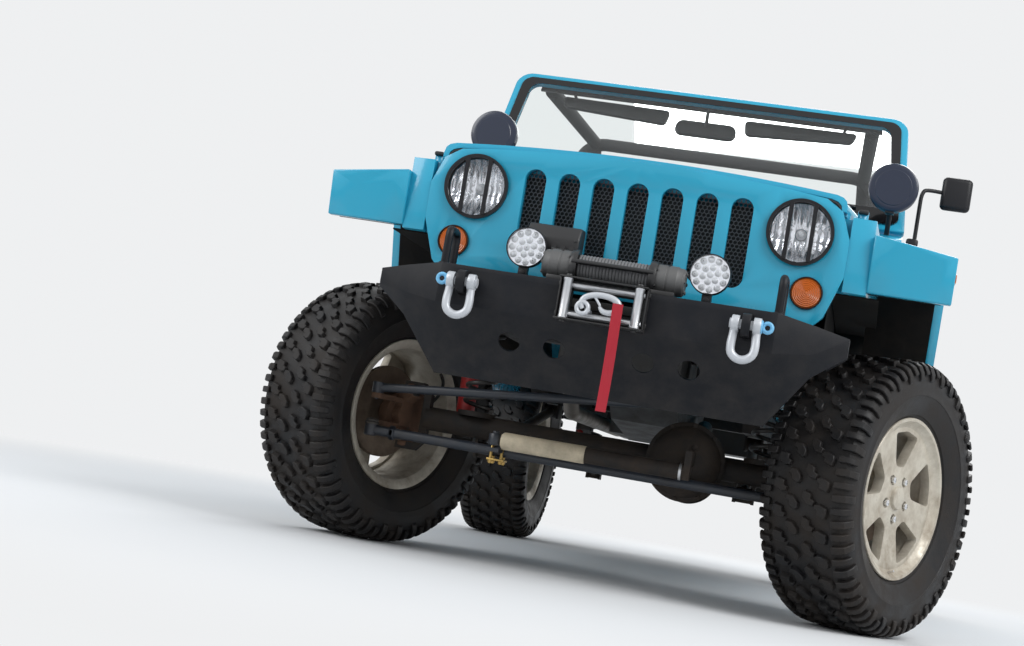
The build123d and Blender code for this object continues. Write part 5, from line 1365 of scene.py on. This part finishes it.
# %% [markdown]
# Each cushion is a finely divided box whose points are moved: its edges are drawn in to a rounded form, its
# face is crowned, and sewn channels are pressed into it. A level of subdivision then smooths the fabric. Sculpting
# by hand would give livelier folds, but a rule gives the same cushion each time.

# %% One cushion
CUTS = 19
GROOVES = ((9.0, 0.045), (7.0, 0.035))


def cushion(name, size, crown, channels, power=5.0):
    """A padded block of a width, length and thickness in mm, its face up, with channels across and along it."""
    deselect()
    bpy.ops.mesh.primitive_cube_add(size=2)
    pad = bpy.context.object
    pad.name = name
    edit(pad)
    bpy.ops.mesh.subdivide(number_cuts=CUTS)
    leave()
    for vertex in pad.data.vertices:
        u, v, w = vertex.co
        reach = (abs(u) ** power + abs(v) ** power + abs(w) ** power) ** (1 / power)
        biggest = max(abs(u), abs(v), abs(w))
        u, v, w = (c * biggest / reach for c in (u, v, w))
        rise = 0.0
        if w > 0.3:
            rise = crown * (1 - u * u) * (1 - v * v)
            for lines, (depth, width), a, b in zip(channels, GROOVES, (u, v), (v, u)):
                for line in lines:
                    rise -= depth * exp(-((a - line) / width) ** 2) * (1 - b ** 6)
        pull = 1 - 0.012 * (1 - v * v)
        vertex.co = (u * size[0] / 2000 * pull, v * size[1] / 2000, (w * size[2] / 2 + rise) / 1000)
    smooth = pad.modifiers.new("fabric", "SUBSURF")
    smooth.levels = smooth.render_levels = 1
    bpy.ops.object.modifier_apply(modifier=smooth.name)
    return pad


# %% [markdown]
# Two front seats and a rear bench have cushions and backs, and the front ones have headrests. Five patterns are
# made flat, and copies of them are tipped into place, so left and right match.

# %% Padded seats
def leaning(x, y, z, tip):
    return Matrix.Translation(at(x, y, z)) @ Matrix.Rotation(radians(tip), 4, "X")


seat_pad = cushion("seat_pad", (474, 450, 140), 14, ((-0.56, 0.56), (-0.2, 0.3)))
back_pad = cushion("back_pad", (456, 560, 104), 16, ((-0.58, 0.58), (-0.45, 0.1)))
rest_pad = cushion("rest_pad", (250, 74, 62), 4, ((), ()), 3.5)
bench_pad = cushion("bench_pad", (990, 430, 150), 10, ((-0.33, 0.0, 0.33), (0.1,)))
bench_back_pad = cushion("bench_back_pad", (990, 396, 84), 10, ((-0.33, 0.0, 0.33), (0.2,)))
SEATS = (("left", 370), ("right", -370))
pads = []
for name, x in SEATS:
    pads.append(("seat_cushion_" + name, copied(seat_pad, leaning(x, 1430, 706, -4))))
    pads.append(("seat_back_" + name, copied(back_pad, leaning(x, 1714, 1052, 79))))
    pads.append(("headrest_" + name, copied(rest_pad, leaning(x, 1777, 1366, 79))))
pads.append(("bench_cushion", copied(bench_pad, leaning(0, 2300, 868, -2))))
pads.append(("bench_back", copied(bench_back_pad, leaning(0, 2565, 1138, 77))))
for pad in (seat_pad, back_pad, rest_pad, bench_pad, bench_back_pad):
    bpy.data.objects.remove(pad)
STANDS_FOR = {"seat_cushion_left": ["front_seats"], "bench_cushion": ["rear_bench"]}
for name, pad in pads:
    pad.name = name
    done(pad, "seat_fabric", "chassis", 60, STANDS_FOR.get(name, ()))
print("padded pieces:", len(pads))

# %% [markdown]
# Under the cushions are rails, risers and trays, recliners at the hinges, and posts that carry the headrests. They
# are hard parts, so they form one piece beside the padded ones.

# %% Seat frames
bases = []
for name, x in SEATS:
    for side in (-1, 1):
        rail, hinge, post = x + side * 190, x + side * 236, x + side * 55
        bases.append(block("rail", (rail - 14, rail + 14), (1215, 1650), (581, 600), 3))
        bases.append(block("riser", (rail - 6, rail + 6), (1250, 1630), (598, 646)))
        bases.append(block("recliner", (hinge - 8, hinge + 8), (1600, 1690), (640, 780), 7, 3))
        bases.append(bar("post", at(post, 1765, 1300), at(post, 1775, 1350), 6))
    bases.append(block("tray", (x - 196, x + 196), (1225, 1640), (632, 640)))
bases.append(block("bench_tray", (-470, 470), (2110, 2500), (734, 796), 6, 3))
for x in (-440, 440):
    bases.append(block("bench_arm", (x - 12, x + 12), (2470, 2545), (740, 960), 6, 3))
finished("seat_frames", bases, "dash_plastic")
print("seat frame parts:", len(bases))

# %% [markdown]
# The dashboard, the steering wheel and the sport bar are copies of the solids with rounder edges, because their
# shapes are right already and only their edges are too sharp for moulded plastic and bent tube.

# %% Rounder pieces of the cabin
for node, width, body, segments in (("dashboard", 10, "chassis", 3), ("steering_wheel", 3, "steering_wheel", 2),
                                    ("sport_bar", 3, "chassis", 2)):
    piece = softened(node, width, body, segments)
    print(piece.name, "faces", len(piece.data.polygons))

# %% [markdown]
# On the dashboard are round vents with vanes and a pod with three plain dials, and between the seats a console with
# two levers. A dial is a plain flat disc in a turned bezel.

# %% Dashboard and console
trims, faces = [], []
for x in (-610, -140, 140, 610):
    spot = at(x, 906, 1150)
    trims.append(turned("vent", [(-4, 30), (-4, 42), (6, 42), (9, 38), (9, 34), (2, 31)], spot, (0, 1, 0.1), 36))
    trims.append(bar("vent_back", spot - Vector((0, 0.006, 0)), spot, 32, 32))
    for n in range(-2, 3):
        half = 31 - abs(n) * 4
        trims.append(block("vane", (x - half, x + half), (905, 910), (1149 + n * 12, 1151 + n * 12), 0))
pod = [(800, 1218), (812, 1262), (850, 1268), (892, 1240), (896, 1160), (870, 1150)]
trims.append(bevelled(pushed("pod", [at(220, y, z) for y, z in pod], (0.3, 0, 0)), 10, 3))
for x, radius in ((296, 38), (370, 26), (444, 38)):
    spot = at(x, 896, 1203)
    trims.append(turned("bezel", [(0, radius - 5), (0, radius), (6, radius), (8, radius - 3), (2, radius - 4)], spot,
                        BACKWARD, 36))
    faces.append(bar("face", at(x, 892, 1203), at(x, 897, 1203), radius - 4.5, 32))
trims.append(block("console", (-120, 120), (900, 1180), (590, 700), 20, 4))
trims.append(swept("shifter", [at(-30, 1010, 690), at(-28, 1030, 790), at(-24, 1036, 850)], 8))
trims.append(swept("transfer_lever", [at(60, 1040, 690), at(60, 1060, 760), at(60, 1066, 800)], 7))
for x, y, z, size in ((-24, 1036, 858, 22), (60, 1066, 808, 18)):
    deselect()
    bpy.ops.mesh.primitive_uv_sphere_add(segments=24, ring_count=14, radius=size / 1000, location=at(x, y, z))
    trims.append(bpy.context.object)
    bpy.ops.object.transform_apply(location=True, rotation=True, scale=True)
finished("dash_pieces", trims, "dash_plastic", "chassis", 40)
finished("dial_faces", faces, "lens_white")
print("dashboard parts:", len(trims), "dials:", len(faces))

# %% [markdown]
# A column with two stalks leads to the steering wheel, and rubber mats lie on the floor. They are only seen from
# above, so plain bars and thin rounded boxes do.

# %% Column and mats
column = [bar("column", at(370, 900, 1075), at(370, 1075, 1124), 30, 28),
          bar("stalk", at(372, 1030, 1112), at(510, 1050, 1135), 6),
          bar("stalk", at(368, 1030, 1112), at(235, 1050, 1130), 6)]
finished("steering_column", column, "dash_plastic")
mats = [block("mat", (-728, 728), (652, 1930), (581.5, 586)), block("mat", (-545, 545), (1960, 2950), (730.5, 735))]
for name, x in SEATS:
    mats.append(block("mat", (x - 225, x + 225), (690, 1180), (586, 593), 3))
finished("floor_mats", mats, "rubber_black")
print("mats:", len(mats))

# %% [markdown]
# Behind and along the sides are the small fittings that every such body carries: door hinge brackets with bolts,
# door strikers, the fuel filler, and the tailgate's handle, latch and hinge straps. The photograph doesn't show
# them, so they are guessed in their usual places and kept plain.

# %% Side and rear fittings
HALF_TUB = 785
paint, darks = [], []
for side in (-1, 1):
    x, out = side * HALF_TUB, ACROSS * side
    for z in (760, 1050):
        paint.append(block("hinge", (x - side * 2, x + side * 9), (655, 728), (z - 30, z + 30), 4, 3))
        paint.append(bar("knuckle", at(x + side * 12, 734, z - 36), at(x + side * 12, 734, z + 36), 11, 24))
        for y in (672, 706):
            for dz in (-15, 15):
                darks.append(bolt("bolt", at(x + side * 9, y, z + dz), out, 7, 4))
    darks.append(block("striker", (x - side, x + side * 6), (1648, 1668), (940, 1000), 3))
    darks.append(bar("striker_pin", at(x - side * 8, 1632, 970), at(x - side * 8, 1654, 970), 5))
filler = at(HALF_TUB, 2060, 980)
darks.append(turned("filler", [(0, 0), (0, 68), (6, 68), (10, 62), (10, 0)], filler, ACROSS, 40))
for y, z in arc(0.052, 0, 60, 6):
    darks.append(bolt("bolt", filler + Vector((0.009, y, z)), ACROSS, 5, 3))
gate_darks = [block("handle", (395, 515), (3002, 3030), (1010, 1042), 10, 4),
              block("latch", (520, 556), (2998, 3012), (985, 1062), 4, 3)]
gate_paint = []
for z in (800, 1080):
    gate_paint.append(block("strap", (-560, -380), (2999, 3008), (z - 24, z + 24), 4, 3))
    for x in (-540, -480, -410):
        gate_darks.append(bolt("bolt", at(x, 3008, z), BACKWARD, 8, 5))
finished("body_hinges", paint, "body_paint")
finished("body_fittings", darks, "trim_black")
finished("gate_straps", gate_paint, "body_paint", "tailgate")
finished("gate_fittings", gate_darks, "trim_black", "tailgate")
print("fittings:", len(paint) + len(darks) + len(gate_paint) + len(gate_darks))

# %% [markdown]
# The studio's floor is pale paper. Far from the vehicle it is a plain light to the camera, so that it runs into the
# background, and near by it stays matte and keeps the shadow. A curved backdrop would need more room.

# %% Floor
BACKGROUND, PAPER = (0.86, 0.87, 0.88, 1), (0.7, 0.71, 0.72, 1)


def seen_by(tree, *rays):
    """One where a ray of one of these kinds arrives."""
    path = shader_node(tree, "LightPath").outputs
    seen = path[rays[0]]
    for ray in rays[1:]:
        seen = combined(tree, "MAXIMUM", seen, path[ray])
    return seen


deselect()
bpy.ops.mesh.primitive_plane_add(size=60, location=(0, 0, -0.001))
floor = bpy.context.object
floor.name = "studio_floor"
paper = bpy.data.materials.new("paper")
paper.use_nodes = True
tree = paper.node_tree
matte = tree.nodes["Principled BSDF"]
matte.inputs["Base Color"].default_value = PAPER
matte.inputs["Roughness"].default_value = 0.9
reach = shader_node(tree, "VectorMath", [(0, shader_node(tree, "TexCoord").outputs["Object"])], operation="LENGTH")
far = ranged(tree, reach.outputs["Value"], 2.2, 4.6)
far.node.interpolation_type = "SMOOTHSTEP"
share = combined(tree, "MULTIPLY", seen_by(tree, "Is Camera Ray", "Is Transmission Ray"), far)
white = shader_node(tree, "Emission", values=[("Color", BACKGROUND)])
mixed = shader_node(tree, "MixShader", [(0, share), (1, matte.outputs[0]), (2, white.outputs[0])])
tree.links.new(mixed.outputs[0], tree.nodes["Material Output"].inputs["Surface"])
floor.data.materials.append(paper)
print("floor in place")

# %% [markdown]
# The world lights the vehicle evenly from all sides. The camera, glass and metal see a paler one, so that the
# background stays white without more light on the vehicle.

# %% World
world = bpy.context.scene.world or bpy.data.worlds.new("studio")
bpy.context.scene.world = world
world.use_nodes = True
tree = world.node_tree
tree.nodes.clear()
plain = shader_node(tree, "Background", values=[("Color", (0.62, 0.66, 0.7, 1)), ("Strength", 0.75)])
pale = shader_node(tree, "Background", values=[("Color", BACKGROUND), ("Strength", 1.0)])
seen = seen_by(tree, "Is Camera Ray", "Is Transmission Ray", "Is Glossy Ray")
mixed = shader_node(tree, "MixShader", [(0, seen), (1, plain.outputs[0]), (2, pale.outputs[0])])
shader_node(tree, "OutputWorld", [("Surface", mixed.outputs[0])])

# %% [markdown]
# Two large soft lamps stand in front and one behind. Large lamps give soft shadows and long, calm highlights on
# the paint, as in a studio.

# %% Lamps
def soft_lamp(name, place, aim, size, power):
    """A square area lamp that shines at a place."""
    bpy.ops.object.light_add(type="AREA", location=place)
    lamp = bpy.context.object
    lamp.name = name
    lamp.data.size = size
    lamp.data.energy = power
    lamp.rotation_euler = (Vector(aim) - Vector(place)).to_track_quat("-Z", "Y").to_euler()


soft_lamp("sky_left", (4.5, -4.0, 5.0), (0, -0.8, 0.7), 4.0, 330)
soft_lamp("sky_right", (-4.5, -4.5, 4.0), (0, -0.8, 0.7), 3.5, 190)
soft_lamp("sky_back", (0.5, 5.0, 4.5), (0, 0.5, 0.8), 4.0, 220)

# %% [markdown]
# The photograph is taken from low down in front, a little to the vehicle's left, with a short tele lens. The
# vehicle leans in it, because one front wheel stands high. Here it stands level, so the camera leans instead.

# %% Camera
CAMERA_AT = (0.7773, -6.7763, 0.3099)
AZIMUTH, ELEVATION, LEAN = 12.113, 4.663, 10.0
FOCAL_PX, PICTURE_WIDTH, SENSOR_WIDTH = 1742.0, 1024, 36.0
camera_data = bpy.data.cameras.new("photo_view")
camera = bpy.data.objects.new("photo_view", camera_data)
bpy.context.scene.collection.objects.link(camera)
camera_data.sensor_width = SENSOR_WIDTH
camera_data.lens = FOCAL_PX / PICTURE_WIDTH * SENSOR_WIDTH
az, el, lean = radians(AZIMUTH), radians(ELEVATION), radians(LEAN)
ahead = Vector((-sin(az) * cos(el), cos(az) * cos(el), sin(el)))
side = Vector((cos(az), sin(az), 0))
over = side.cross(ahead)
right = cos(lean) * side + sin(lean) * over
up = -sin(lean) * side + cos(lean) * over
turn = Matrix((right, up, -ahead)).transposed().to_4x4()
camera.matrix_world = Matrix.Translation(CAMERA_AT) @ turn
bpy.context.scene.camera = camera
bpy.context.scene.view_settings.view_transform = "Standard"
print("focal length", round(camera_data.lens, 2), "mm")
